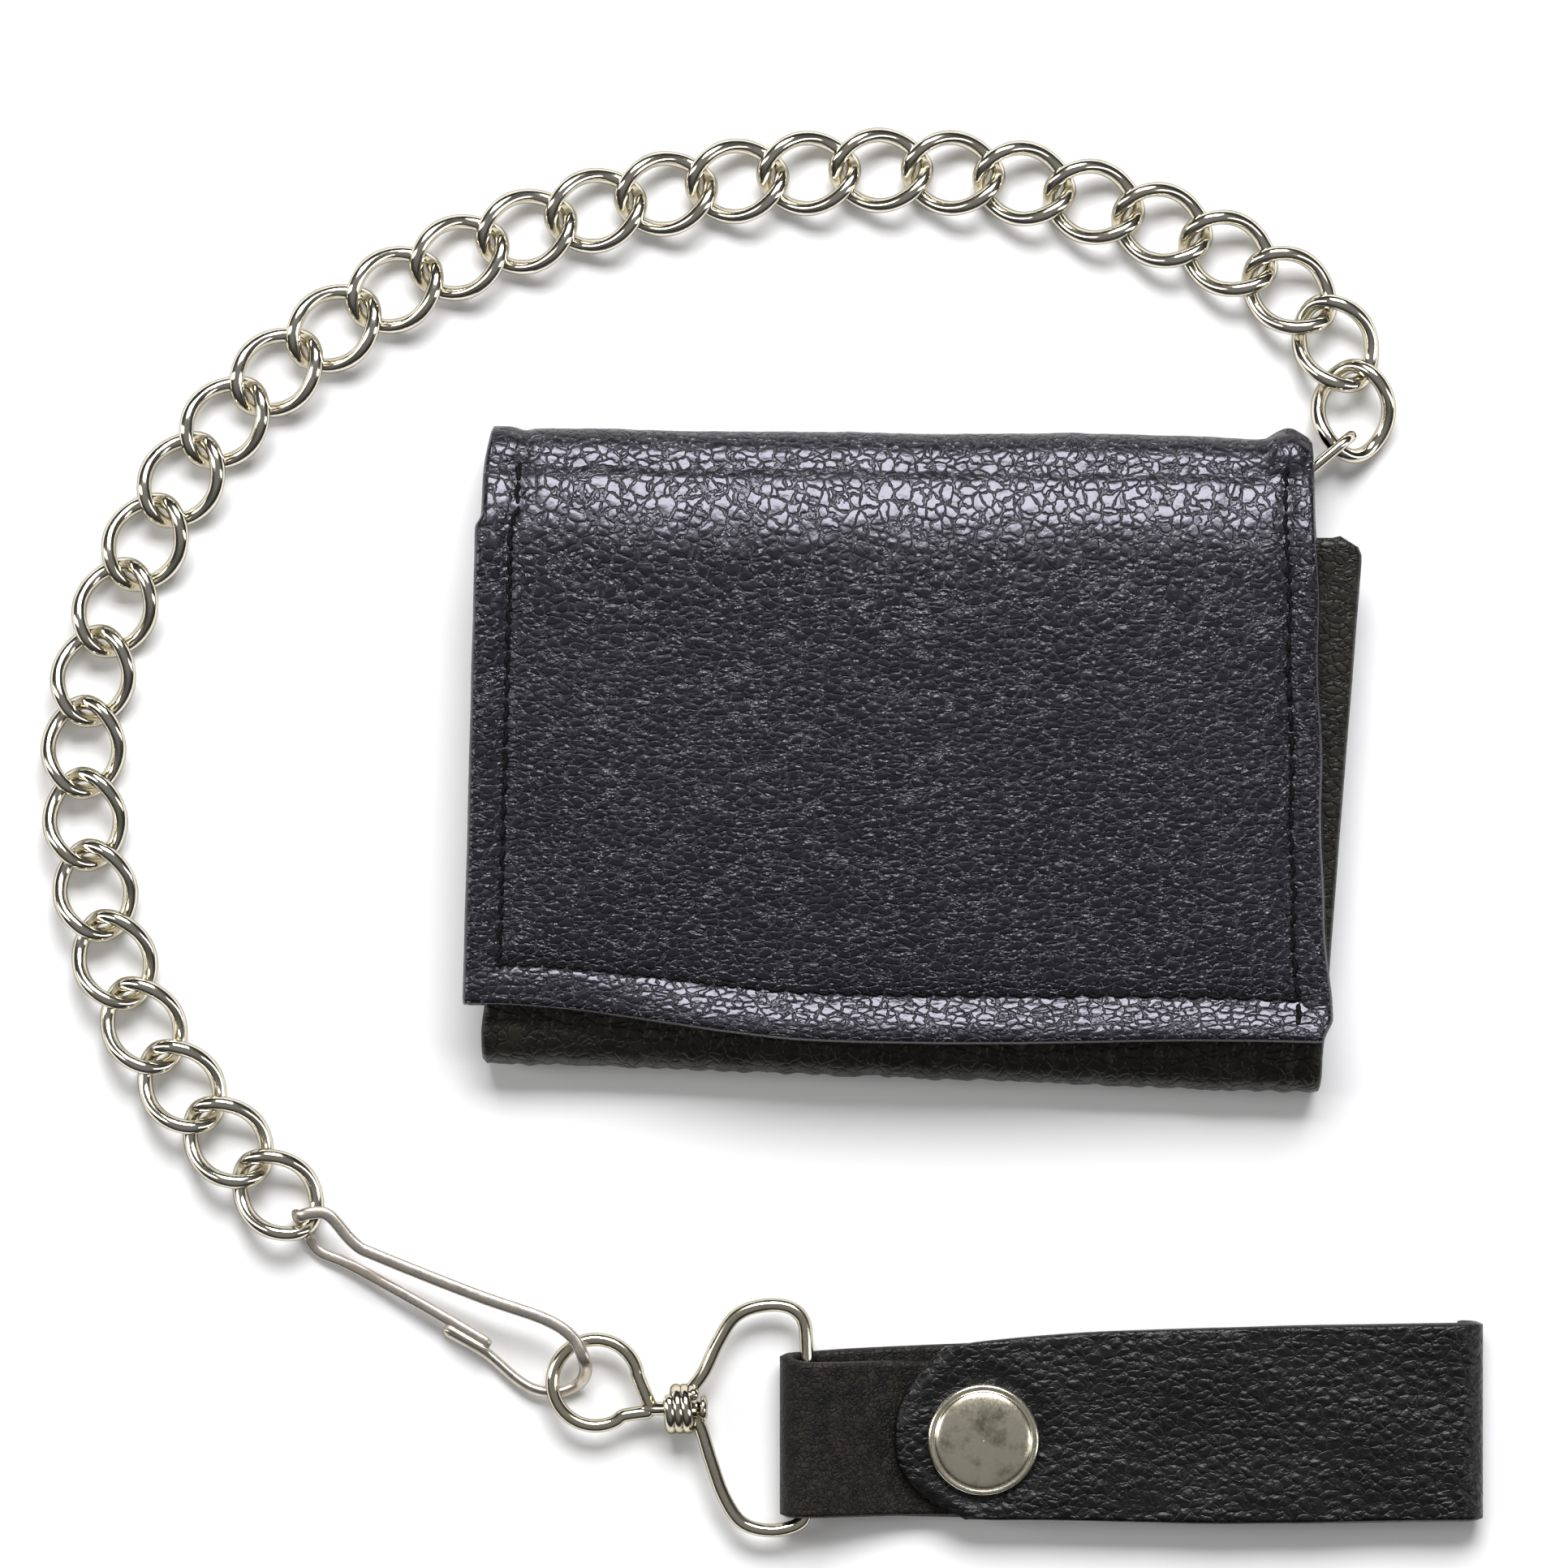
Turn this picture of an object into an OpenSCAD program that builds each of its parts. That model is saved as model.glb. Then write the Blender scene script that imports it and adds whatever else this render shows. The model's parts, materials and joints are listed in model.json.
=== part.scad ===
/* [Wallet] */
// Width of the closed wallet along its folds
panel_w = 105; // [95:1:112]
// Height of the closed wallet from fold to fold
panel_h = 82; // [76:1:88]
// How far the flap flares past the back panel at its free edge
flap_flare = 2.6; // [0:0.1:3]
// Distance from the top fold to the inner panel's free edge
inner_gap = 13.5; // [12:0.5:20]
// Thickness of the outer leather
leather = 1.4; // [1:0.1:1.5]
// Thickness of the lining and pocket leather
lining = 0.9; // [0.6:0.1:0.9]

/* [Chain] */
// Number of twisted links
link_count = 31; // [31:1:33]
// Wire diameter of a link
link_wire = 1.9; // [1.4:0.1:1.9]
// Overall width of a link
link_w = 10.9; // [10:0.1:11]
// Height of the chain's middle over the table
chain_z = 2.8; // [2.8:0.1:3.2]
// Twist of a link's end planes from flat, in degrees
link_twist = 36; // [34:1:40]

/* [Hook and swivel] */
// Diameter of the hook's spring wire
hook_wire = 1.4; // [1:0.1:1.4]
// Diameter of the swivel eye's wire and of the strap ring's
ring_wire = 1.7; // [1.4:0.1:1.7]
// Radius of the swivel eye at its wire's middle
eye_r = 5.5; // [5.2:0.1:5.6]
// Height of the swivel's axis over the table
swivel_z = 3.4; // [3.4:0.1:3.8]
// Outer radius of the swivel barrel
barrel_r = 3.2; // [2.6:0.1:3.3]

/* [Strap] */
// Width of the strap at its closed end
strap_w = 25.2; // [24:0.1:25.4]
// Width of the strap where it holds the ring
neck_w = 20.6; // [19:0.1:21]
// Thickness of the strap leather
strap_t = 1.6; // [1.2:0.1:1.6]
// Radius of the snap's cap
cap_r = 7.1; // [6:0.1:7.5]

/* [Hidden] */
link_names = [for (i = [1:link_count]) str("link_", i < 10 ? "0" : "", i)];
$fn = 48;
leather_colour = "#2b2a30";
lining_colour = "#1d1b1c";
nickel_colour = "#cfc9b8";
window_colour = "#dfe6ea";

// Wallet stack, from the table up: back, inner panel, flap
half_w = panel_w / 2;
top_y = panel_h / 2;
divider_z = 3.5;
pocket_z = divider_z + lining;
inner_pocket_z = 5.9;
window_t = 0.3;
inner_window_z = inner_pocket_z + lining + 0.05;
inner_z = inner_window_z + window_t + 0.05;
flap_pocket_z = inner_z + leather + 0.5;
flap_lining_z = flap_pocket_z + lining + 0.1;
flap_z = flap_lining_z + lining + 0.1;
stack_z = flap_z + leather;
top_fold_r = stack_z / 2;
top_hinge_y = top_y - top_fold_r;
bottom_fold_r = (inner_z + leather) / 2;
bottom_hinge_y = -top_y + bottom_fold_r;
inner_top_y = top_y - inner_gap;
panel_side = 1;
corner_steps = 5;
sheet_corner_r = 1.2;
inner_corner_r = 2.4;

// Flap: where its free edge lies. The edge drops from its lower left corner to a bend
flap_right = half_w - 0.7;
flap_left_len = 66.8;
flap_bend_x = -half_w + 30;
flap_bend_y = -top_y + 6;
flap_right_y = -top_y + 5.4;
flap_right_in = 0.6;
flap_lining_in = 0.6;
flap_pocket_bottom = 12;
flap_pocket_top = 14;
flap_pocket_side = 2;

// Inner panel: how far its free edge is moved to the right, and its window's place
inner_skew_left = 6;
inner_skew_right = 6.2;
inner_pocket_in = 1;
window_left = -20;
window_margin = 6;
window_skew = 2;
window_corner_r = 2;

// Eyelet in the divider and pocket, and the ring that ties the chain to it
eyelet_at = [45.5, 31];
eyelet_hole_r = 2.6;
eyelet_tube_r = 3;
eyelet_flange_r = 4.4;
eyelet_flange_t = 0.3;
eyelet_reach = 1.4;
tie_wire = 1.4;
tie_z = 4.45;
tie_half_h = 2.2;
tie_slack = 2.3;
tie_turn = 145;
tie_notch = 2.7;
tie_arc_steps = 8;
divider_top_y = eyelet_at.y + eyelet_flange_r + eyelet_reach;
pocket_step = 0.4;

// Chain: hand-chosen points of the line that the links' pivots lie on, from the wallet to the hook
route = [[57.6, 39.4], [57.5, 48.6], [53.3, 56.4], [46.1, 61.7], [37.8, 65.9], [16, 73], [-2.6, 74.7],
    [-21.7, 73.2], [-39.8, 69.3], [-57.6, 63.1], [-73, 54], [-86.6, 42.1], [-96.5, 26.6],
    [-103.2, 9], [-103.8, -8.6], [-100.2, -25.7], [-91.9, -41.7], [-76.1, -58.9]];
route_steps = 8;
link_slack = 0.4;
link_rings = 20;
link_sides = 6;

// Hook: the line of its wire, from the eye through the swivel's eye to the catch
hook_low = 0.8;
hook_high = 4.75;
hook_over = 5.2;
hook_under = 1.55;
hook_line = [[-75.9, -60.2, hook_low], [-76.6, -58.9, hook_low + 0.2], [-76.9, -58.3, chain_z],
    [-76.3, -58.3, hook_high - 0.4], [-74.9, -57.9, hook_high], [-72.6, -58.2, hook_high],
    [-69.3, -61.8, hook_high], [-66.2, -63.4, hook_high], [-53.8, -68.3, 5], [-45.2, -71.3, hook_over],
    [-41.7, -73.6, hook_over], [-40.3, -76.2, hook_over], [-40.1, -78.2, swivel_z],
    [-41.1, -79.9, hook_under], [-43.6, -80.9, hook_under], [-46.5, -80.6, hook_under],
    [-49, -79.2, 1.3], [-52.8, -76, 1.1], [-57.5, -73.3, 1.1]];
gate_line = [[-75.3, -61.4, hook_low], [-73.9, -63.1, hook_low], [-69.9, -64.8, 1.3],
    [-61, -69.6, 2.3], [-52.8, -74.4, 2.75]];
wire_sides = 8;

// Swivel: the eye's centre, the axis it turns on and the barrel
eye_at = [-38.8, -79.5];
swivel_y = -82.8;
pin_r = 0.85;
pin_clear = 0.1;
pin_head_r = 1.7;
pin_head_t = 0.9;
barrel_x = -30.2;
barrel_len = 4.6;
eye_rings = 28;

// Strap ring: hand-chosen corners of its wire, and its bar inside the strap
bar_x = -12;
d_line = [[-25.4, -80.2], [-23.4, -74.6], [-21.2, -71.2], [-18.1, -69.8], [-14.6, -69.8], [-12.3, -71.6],
    [bar_x, -75.9], [bar_x, -82], [bar_x, -90], [bar_x, -95.4], [-13.2, -97.4], [-16.6, -98.3],
    [-20.2, -97.3], [-22.5, -94], [-24.2, -89.3], [-25.4, -85.4]];

// Strap: lies along X, closed end at the right
strap_mid_y = -84.8;
neck_mid_y = -86.2;
strap_right = 74;
strap_gap = 2.4;
flap_left = -0.6;
flap_z0 = strap_t + strap_gap;
end_fold_r = (flap_z0 + strap_t) / 2;
end_hinge_x = strap_right - end_fold_r;
loop_r = swivel_z;
return_z = strap_t + 0.1;
return_ramp_x = -3.2;
return_ramp_step = 0.8;
return_end_x = 26;
taper_end_x = 13;
strap_tip_r = 8;
strap_tip_in = 1.6;
snap_at = [10.4, -86.5];
cap_t = 1.7;
cap_crown = 0.7;
snap_post_r = 1.1;
stud_r = 1.9;
stud_base_r = 4.6;
stud_base_t = 0.1;
socket_r = 4.9;
socket_clear = 0.25;
socket_t = 0.35;
eps = 0.01;

function unit(v) = v / norm(v);

// Points of a smooth line through p, closed into a loop where loop is true
function smooth(p, steps, loop) =
    let (n = len(p), last = loop ? n - 1 : n - 2)
    concat([for (i = [0:last], k = [0:steps - 1])
        let (
            t = k / steps,
            a = p[loop ? (i + n - 1) % n : max(i - 1, 0)],
            b = p[i],
            c = p[(i + 1) % n],
            d = p[loop ? (i + 2) % n : min(i + 2, n - 1)]
        )
        (2 * b + (c - a) * t + (2 * a - 5 * b + 4 * c - d) * t * t
            + (3 * b - a - 3 * c + d) * t * t * t) / 2],
        loop ? [] : [p[n - 1]]);

function tangents(p, loop) =
    let (n = len(p))
    [for (i = [0:n - 1])
        unit(p[loop ? (i + 1) % n : min(i + 1, n - 1)] - p[loop ? (i + n - 1) % n : max(i - 1, 0)])];

// Directions square to the line that turn with it as little as they can
function carried(t, first) =
    [for (i = 0, n = first; i < len(t); i = i + 1,
        n = i < len(t) ? unit(n - (n * t[i]) * t[i]) : n) n];

// Outline p with its corners rounded by r
function rounded(p, r) =
    let (n = len(p))
    [for (i = [0:n - 1], k = [0:corner_steps])
        let (
            t = k / corner_steps,
            b = p[i],
            u = b + unit(p[(i + n - 1) % n] - b) * r,
            v = b + unit(p[(i + 1) % n] - b) * r
        )
        (1 - t) * (1 - t) * u + 2 * t * (1 - t) * b + t * t * v];

// Round wire of radius r swept along the line p
module wire(p, t, n, r, sides, loop) {
    count = len(p);
    last = loop ? count - 1 : count - 2;
    points = [for (i = [0:count - 1], j = [0:sides - 1])
        p[i] + r * (n[i] * cos(360 * j / sides) + cross(t[i], n[i]) * sin(360 * j / sides))];
    walls = [for (i = [0:last], j = [0:sides - 1])
        let (
            a = i * sides + j,
            b = i * sides + (j + 1) % sides,
            c = ((i + 1) % count) * sides + (j + 1) % sides,
            d = ((i + 1) % count) * sides + j
        )
        each [[a, c, b], [a, d, c]]];
    first_cap = [for (j = [0:sides - 1]) j];
    last_cap = [for (j = [sides - 1:-1:0]) (count - 1) * sides + j];
    polyhedron(points, loop ? walls : concat(walls, [first_cap, last_cap]));
}

module bent_wire(p, steps, d, loop, first) {
    line = smooth(p, steps, loop);
    t = tangents(line, loop);
    wire(line, t, carried(t, first), d / 2, wire_sides, loop);
}

module sheet(outline, z, t, r) {
    translate([0, 0, z])
        linear_extrude(t)
            polygon(rounded(outline, r));
}

// Half of a tube that lies along X, where a leather sheet turns back on itself
module half_tube_x(x0, x1, y, z, outer, t, side) {
    translate([x0, y, z])
        rotate([90, 0, 90])
            linear_extrude(x1 - x0)
                difference() {
                    circle(outer);
                    circle(outer - t);
                    translate([side > 0 ? -2 * outer : 0, -2 * outer])
                        square([2 * outer, 4 * outer]);
                }
}

module back_outer() {
    color(leather_colour)
        sheet([[-half_w, bottom_hinge_y], [half_w, bottom_hinge_y], [half_w, top_hinge_y],
            [-half_w, top_hinge_y]], 0, leather, eps);
}

module pierced_sheet(z, low_y, high_y) {
    difference() {
        sheet([[-half_w + panel_side, low_y], [half_w - panel_side, low_y],
            [half_w - panel_side, high_y], [-half_w + panel_side, high_y]], z, lining, sheet_corner_r);
        translate([eyelet_at.x, eyelet_at.y, z - lining])
            cylinder(h = 3 * lining, r = eyelet_tube_r);
    }
}

module bill_divider() {
    color(lining_colour)
        pierced_sheet(divider_z, bottom_hinge_y, divider_top_y);
}

module back_pocket() {
    color(lining_colour)
        pierced_sheet(pocket_z, bottom_hinge_y + 1, divider_top_y - pocket_step);
}

// Stops short of the flap's right edge, where the chain's ring comes out of the bill compartment
module top_fold() {
    color(leather_colour)
        half_tube_x(-half_w, half_w - tie_notch, top_hinge_y, top_fold_r, top_fold_r, leather, 1);
}

module bottom_fold() {
    color(leather_colour)
        half_tube_x(-half_w, half_w, bottom_hinge_y, bottom_fold_r, bottom_fold_r, leather, -1);
}

module eyelet() {
    color(nickel_colour)
        translate([eyelet_at.x, eyelet_at.y, 0])
            difference() {
                union() {
                    translate([0, 0, divider_z])
                        cylinder(h = 2 * lining + eyelet_flange_t, r = eyelet_tube_r);
                    translate([0, 0, pocket_z + lining])
                        cylinder(h = eyelet_flange_t, r = eyelet_flange_r);
                }
                translate([0, 0, divider_z - 1])
                    cylinder(h = 4 * lining, r = eyelet_hole_r);
            }
}

module eyelet_washer() {
    color(nickel_colour)
        translate([eyelet_at.x, eyelet_at.y, divider_z - eyelet_flange_t])
            difference() {
                cylinder(h = eyelet_flange_t, r = eyelet_flange_r);
                translate([0, 0, -1])
                    cylinder(h = 3, r = eyelet_hole_r);
            }
}

// Outline of the flap, from the hinge line to its free edge, drawn in by inset
function flap_outline(inset) = [
    [-half_w - flap_flare + inset, top_hinge_y - flap_left_len + inset],
    [flap_bend_x, flap_bend_y + inset],
    [half_w + flap_flare - flap_right_in - inset, flap_right_y + inset],
    [flap_right - inset / 4, top_hinge_y],
    [-half_w + inset / 4, top_hinge_y]];

module flap_outer() {
    color(leather_colour)
        sheet(flap_outline(0), flap_z, leather, sheet_corner_r);
}

module flap_lining() {
    color(lining_colour)
        sheet(flap_outline(flap_lining_in), flap_lining_z, lining, sheet_corner_r);
}

module flap_pocket() {
    side = half_w - flap_pocket_side;
    low = -top_y + flap_pocket_bottom;
    high = top_hinge_y - flap_pocket_top;
    color(lining_colour)
        sheet([[-side, low], [side, low], [side - panel_side, high], [-side, high]], flap_pocket_z, lining,
            sheet_corner_r);
}

// Outline of the inner panel, which lies a little askew, drawn in by inset
function inner_outline(inset) = [
    [-half_w + inset, bottom_hinge_y],
    [half_w - inset, bottom_hinge_y],
    [half_w + inner_skew_right - inset, inner_top_y - inset],
    [-half_w + inner_skew_left + inset, inner_top_y - inset]];

module inner_outer() {
    color(leather_colour)
        sheet(inner_outline(0), inner_z, leather, inner_corner_r);
}

module inner_window() {
    right = half_w - window_margin;
    low = bottom_hinge_y + window_margin;
    high = inner_top_y - window_margin;
    color(window_colour)
        sheet([[window_left, low], [right, low], [right + window_skew, high], [window_left + window_skew, high]],
            inner_window_z, window_t, window_corner_r);
}

module inner_pocket() {
    color(lining_colour)
        sheet(inner_outline(inner_pocket_in), inner_pocket_z, lining, inner_corner_r);
}

// Chain
route_line = smooth(route, route_steps, false);
route_at = [for (i = 0, s = 0; i < len(route_line); i = i + 1,
    s = s + (i < len(route_line) ? norm(route_line[i] - route_line[i - 1]) : 0)) s];
route_len = route_at[len(route_at) - 1];
pitch = route_len / link_count;
route_x = [for (i = [0:len(route_line) - 1]) [route_at[i], route_line[i].x]];
route_y = [for (i = [0:len(route_line) - 1]) [route_at[i], route_line[i].y]];
function pivot(i) = [lookup(i * pitch, route_x), lookup(i * pitch, route_y)];
function link_at(i) = (pivot(i - 1) + pivot(i)) / 2;
function link_turn(i) =
    let (d = pivot(i) - pivot(i - 1))
    atan2(d.y, d.x);

// A point of one twisted link's wire about its own middle, long way along X, at a degrees round it
link_half_l = (pitch + link_wire + link_slack) / 2;
link_half_w = (link_w - link_wire) / 2;
function link_point(a) =
    let (side = link_half_w * sin(a), twist = -link_twist * cos(a))
    [link_half_l * cos(a), side * cos(twist), side * sin(twist)];
link_line = [for (k = [0:link_rings - 1]) link_point(360 * k / link_rings)];

module link(i) {
    t = tangents(link_line, true);
    n = [for (k = [0:link_rings - 1]) unit(link_line[k] - (link_line[k] * t[k]) * t[k])];
    color(nickel_colour)
        translate([link_at(i).x, link_at(i).y, chain_z])
            rotate(link_turn(i))
                wire(link_line, t, n, link_wire / 2, link_sides, true);
}

// The flat ring between the eyelet and the first link, standing on edge. It holds the link at tie_turn
tie_held = link_point(tie_turn);
tie_at = link_at(1) + [cos(link_turn(1)) * tie_held.x - sin(link_turn(1)) * tie_held.y,
    sin(link_turn(1)) * tie_held.x + cos(link_turn(1)) * tie_held.y];
tie_run = tie_at - eyelet_at;
tie_len = norm(tie_run) + tie_slack;
tie_line = [for (k = [0:2 * tie_arc_steps + 1])
    let (
        far = k <= tie_arc_steps,
        a = far ? -90 + 180 * k / tie_arc_steps : 90 + 180 * (k - tie_arc_steps - 1) / tie_arc_steps
    )
    [(far ? tie_len - tie_half_h : tie_half_h) + tie_half_h * cos(a), 0, tie_half_h * sin(a)]];

module ring_link() {
    t = tangents(tie_line, true);
    n = [for (k = [0:len(t) - 1]) [0, 1, 0]];
    color(nickel_colour)
        translate([eyelet_at.x, eyelet_at.y, tie_z])
            rotate(atan2(tie_run.y, tie_run.x))
                wire(tie_line, t, n, tie_wire / 2, wire_sides, true);
}

// Hook and swivel
module hook_frame() {
    color(nickel_colour)
        bent_wire(hook_line, 3, hook_wire, false, [0, 0, 1]);
}

module hook_gate() {
    color(nickel_colour)
        bent_wire(gate_line, 4, hook_wire, false, [0, 0, 1]);
}

module swivel_eye() {
    line = [for (k = [0:eye_rings - 1])
        [eye_at.x + eye_r * cos(360 * k / eye_rings), eye_at.y + eye_r * sin(360 * k / eye_rings), swivel_z]];
    t = tangents(line, true);
    color(nickel_colour)
        wire(line, t, [for (k = [0:eye_rings - 1]) [0, 0, 1]], ring_wire / 2, wire_sides, true);
}

module swivel_pin() {
    start_x = eye_at.x + sqrt(eye_r * eye_r - pow(swivel_y - eye_at.y, 2));
    color(nickel_colour)
        translate([0, swivel_y, swivel_z])
            rotate([0, 90, 0]) {
                translate([0, 0, start_x])
                    cylinder(h = barrel_x + barrel_len + pin_clear - start_x, r = pin_r);
                translate([0, 0, barrel_x + barrel_len + pin_clear])
                    cylinder(h = pin_head_t, r = pin_head_r);
            }
}

module swivel_barrel() {
    turns = 3;
    color(nickel_colour)
        translate([barrel_x, swivel_y, swivel_z])
            rotate([0, 90, 0])
                difference() {
                    rotate_extrude()
                        union() {
                            square([barrel_r - barrel_len / turns / 2, barrel_len]);
                            for (k = [0:turns - 1])
                                translate([barrel_r - barrel_len / turns / 2, (k + 0.5) * barrel_len / turns])
                                    circle(barrel_len / turns / 2);
                        }
                    translate([0, 0, -1])
                        cylinder(h = barrel_len + 2, r = pin_r + pin_clear);
                }
}

module d_ring() {
    color(nickel_colour)
        bent_wire([for (p = d_line) [p.x, p.y, swivel_z]], 3, ring_wire, false, [0, 0, 1]);
}

// Strap
function strap_y(x, side) =
    let (
        t = min(max((x - bar_x) / (taper_end_x - bar_x), 0), 1),
        mid = neck_mid_y + (strap_mid_y - neck_mid_y) * t,
        width = neck_w + (strap_w - neck_w) * t
    )
    mid + side * width / 2;

module strap_base() {
    color(leather_colour)
        difference() {
            sheet([[bar_x, strap_y(bar_x, -1)], [taper_end_x, strap_y(taper_end_x, -1)],
                [end_hinge_x, strap_y(strap_right, -1)], [end_hinge_x, strap_y(strap_right, 1)],
                [taper_end_x, strap_y(taper_end_x, 1)], [bar_x, strap_y(bar_x, 1)]], 0, strap_t, eps);
            translate([snap_at.x, snap_at.y, -1])
                cylinder(h = 3 * strap_t, r = snap_post_r);
        }
}

// The strap's end that passes round the ring's bar and back under the flap
module strap_return() {
    color(leather_colour)
        translate([0, neck_mid_y + neck_w / 2, 0])
            rotate([90, 0, 0])
                difference() {
                    linear_extrude(neck_w)
                        union() {
                            difference() {
                                translate([bar_x, swivel_z])
                                    circle(loop_r);
                                translate([bar_x, swivel_z])
                                    circle(loop_r - strap_t);
                                translate([bar_x, -1])
                                    square([2 * loop_r, 3 * loop_r]);
                            }
                            polygon([[bar_x, 2 * loop_r], [bar_x, 2 * loop_r - strap_t],
                                [return_ramp_x, return_z], [return_end_x, return_z],
                                [return_end_x, return_z + strap_t],
                                [return_ramp_x + return_ramp_step, return_z + strap_t]]);
                        }
                    translate([snap_at.x, -1, neck_mid_y + neck_w / 2 - snap_at.y])
                        rotate([-90, 0, 0])
                            cylinder(h = 3 * strap_t, r = snap_post_r);
                }
}

// The layer with the snap's cap, from its round tip to the closed end
module strap_flap() {
    low = strap_y(strap_right, -1);
    high = strap_y(strap_right, 1);
    body_x = flap_left + 2 * strap_tip_r;
    color(leather_colour)
        difference() {
            union() {
                sheet([[flap_left, low + eps], [body_x + strap_tip_r, low + eps],
                    [body_x + strap_tip_r, high - eps], [flap_left, high - 2 * strap_tip_in]], flap_z0, strap_t,
                    strap_tip_r);
                sheet([[body_x, low], [end_hinge_x, low], [end_hinge_x, high], [body_x + strap_tip_r, high],
                    [body_x, high - strap_tip_in]], flap_z0, strap_t, eps);
            }
            translate([snap_at.x, snap_at.y, 0])
                cylinder(h = 3 * strap_t + strap_gap, r = snap_post_r);
        }
}

module strap_end_fold() {
    color(leather_colour)
        translate([end_hinge_x, strap_y(strap_right, 1), end_fold_r])
            rotate([90, 0, 0])
                linear_extrude(strap_w)
                    difference() {
                        circle(end_fold_r);
                        circle(end_fold_r - strap_t);
                        translate([-2 * end_fold_r, -2 * end_fold_r])
                            square([2 * end_fold_r, 4 * end_fold_r]);
                    }
}

// Snap: cap and socket on the flap, stud and post on the layers below
module snap_cap() {
    edge_t = cap_t - cap_crown;
    crown_r = (cap_r * cap_r + cap_crown * cap_crown) / (2 * cap_crown);
    color(nickel_colour)
        translate([snap_at.x, snap_at.y, flap_z0 + strap_t]) {
            cylinder(h = edge_t, r = cap_r);
            translate([0, 0, edge_t])
                intersection() {
                    cylinder(h = cap_crown, r = cap_r);
                    translate([0, 0, cap_crown - crown_r])
                        sphere(crown_r);
                }
            translate([0, 0, -strap_t])
                cylinder(h = strap_t, r = snap_post_r);
        }
}

module snap_socket() {
    color(nickel_colour)
        translate([snap_at.x, snap_at.y, flap_z0 - socket_t])
            difference() {
                cylinder(h = socket_t, r = socket_r);
                translate([0, 0, -1])
                    cylinder(h = 3, r = stud_r + socket_clear);
            }
}

module snap_stud() {
    color(nickel_colour)
        translate([snap_at.x, snap_at.y, return_z + strap_t]) {
            cylinder(h = stud_base_t, r = stud_base_r);
            cylinder(h = flap_z0 - return_z - strap_t - stud_base_t, r = stud_r);
        }
}

module snap_post() {
    color(nickel_colour)
        translate([snap_at.x, snap_at.y, 0])
            cylinder(h = return_z + strap_t, r = snap_post_r);
}

back_outer();
bill_divider();
back_pocket();
top_fold();
bottom_fold();
eyelet();
eyelet_washer();
flap_outer();
flap_lining();
flap_pocket();
inner_outer();
inner_window();
inner_pocket();
ring_link();
hook_frame();
hook_gate();
swivel_eye();
swivel_pin();
swivel_barrel();
d_ring();
strap_base();
strap_return();
strap_flap();
strap_end_fold();
snap_cap();
snap_socket();
snap_stud();
snap_post();
for (i = [1:link_count]) link(i);
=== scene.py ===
import json
import math
import bpy
import bmesh
import numpy as np
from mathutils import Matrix, Vector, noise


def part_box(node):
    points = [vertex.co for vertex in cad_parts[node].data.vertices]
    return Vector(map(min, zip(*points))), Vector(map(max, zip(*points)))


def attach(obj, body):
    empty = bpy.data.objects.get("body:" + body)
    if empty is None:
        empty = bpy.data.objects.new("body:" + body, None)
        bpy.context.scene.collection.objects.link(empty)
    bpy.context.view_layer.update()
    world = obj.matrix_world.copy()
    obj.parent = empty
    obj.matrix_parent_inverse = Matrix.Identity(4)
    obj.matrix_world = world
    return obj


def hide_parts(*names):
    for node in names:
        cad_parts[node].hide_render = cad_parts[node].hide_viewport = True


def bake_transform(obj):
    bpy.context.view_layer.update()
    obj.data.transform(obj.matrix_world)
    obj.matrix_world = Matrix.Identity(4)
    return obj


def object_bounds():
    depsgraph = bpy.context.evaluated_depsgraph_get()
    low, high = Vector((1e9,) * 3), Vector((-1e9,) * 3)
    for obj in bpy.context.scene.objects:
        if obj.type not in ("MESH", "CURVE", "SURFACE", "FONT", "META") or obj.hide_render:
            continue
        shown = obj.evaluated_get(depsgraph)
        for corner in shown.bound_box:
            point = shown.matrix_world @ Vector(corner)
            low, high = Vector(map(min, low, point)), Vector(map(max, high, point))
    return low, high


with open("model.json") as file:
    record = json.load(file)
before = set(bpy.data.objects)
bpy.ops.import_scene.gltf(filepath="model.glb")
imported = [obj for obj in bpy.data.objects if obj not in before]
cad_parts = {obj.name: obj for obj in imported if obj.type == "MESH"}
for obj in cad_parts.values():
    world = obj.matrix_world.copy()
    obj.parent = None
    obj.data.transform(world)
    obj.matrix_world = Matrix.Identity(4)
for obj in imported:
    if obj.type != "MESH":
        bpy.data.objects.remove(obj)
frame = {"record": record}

# Lengths are in millimetres. MM turns them into Blender's metres.
MM = 0.001
CAD_BOX = [list(corner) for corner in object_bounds()]
BEHAVIOUR = frame["record"]["behaviour"]
JOINT = {joint["name"]: np.array(joint["pos_m"], float) / MM for joint in BEHAVIOUR["joints"]}
LINK_COUNT = sum(1 for body in BEHAVIOUR["bodies"] if body.startswith("link_"))


def box(node):
    """A CAD node's lowest and highest corners, in millimetres."""
    low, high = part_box(node)
    return np.array(low, float) / MM, np.array(high, float) / MM


# ---------------- mesh tools

def unit(v):
    """The vectors of an array at length 1."""
    length = np.linalg.norm(v, axis=-1, keepdims=True)
    return v / np.maximum(length, 1e-12)


def new_object(name, data):
    obj = bpy.data.objects.new(name, data)
    bpy.context.scene.collection.objects.link(obj)
    return obj


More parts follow.
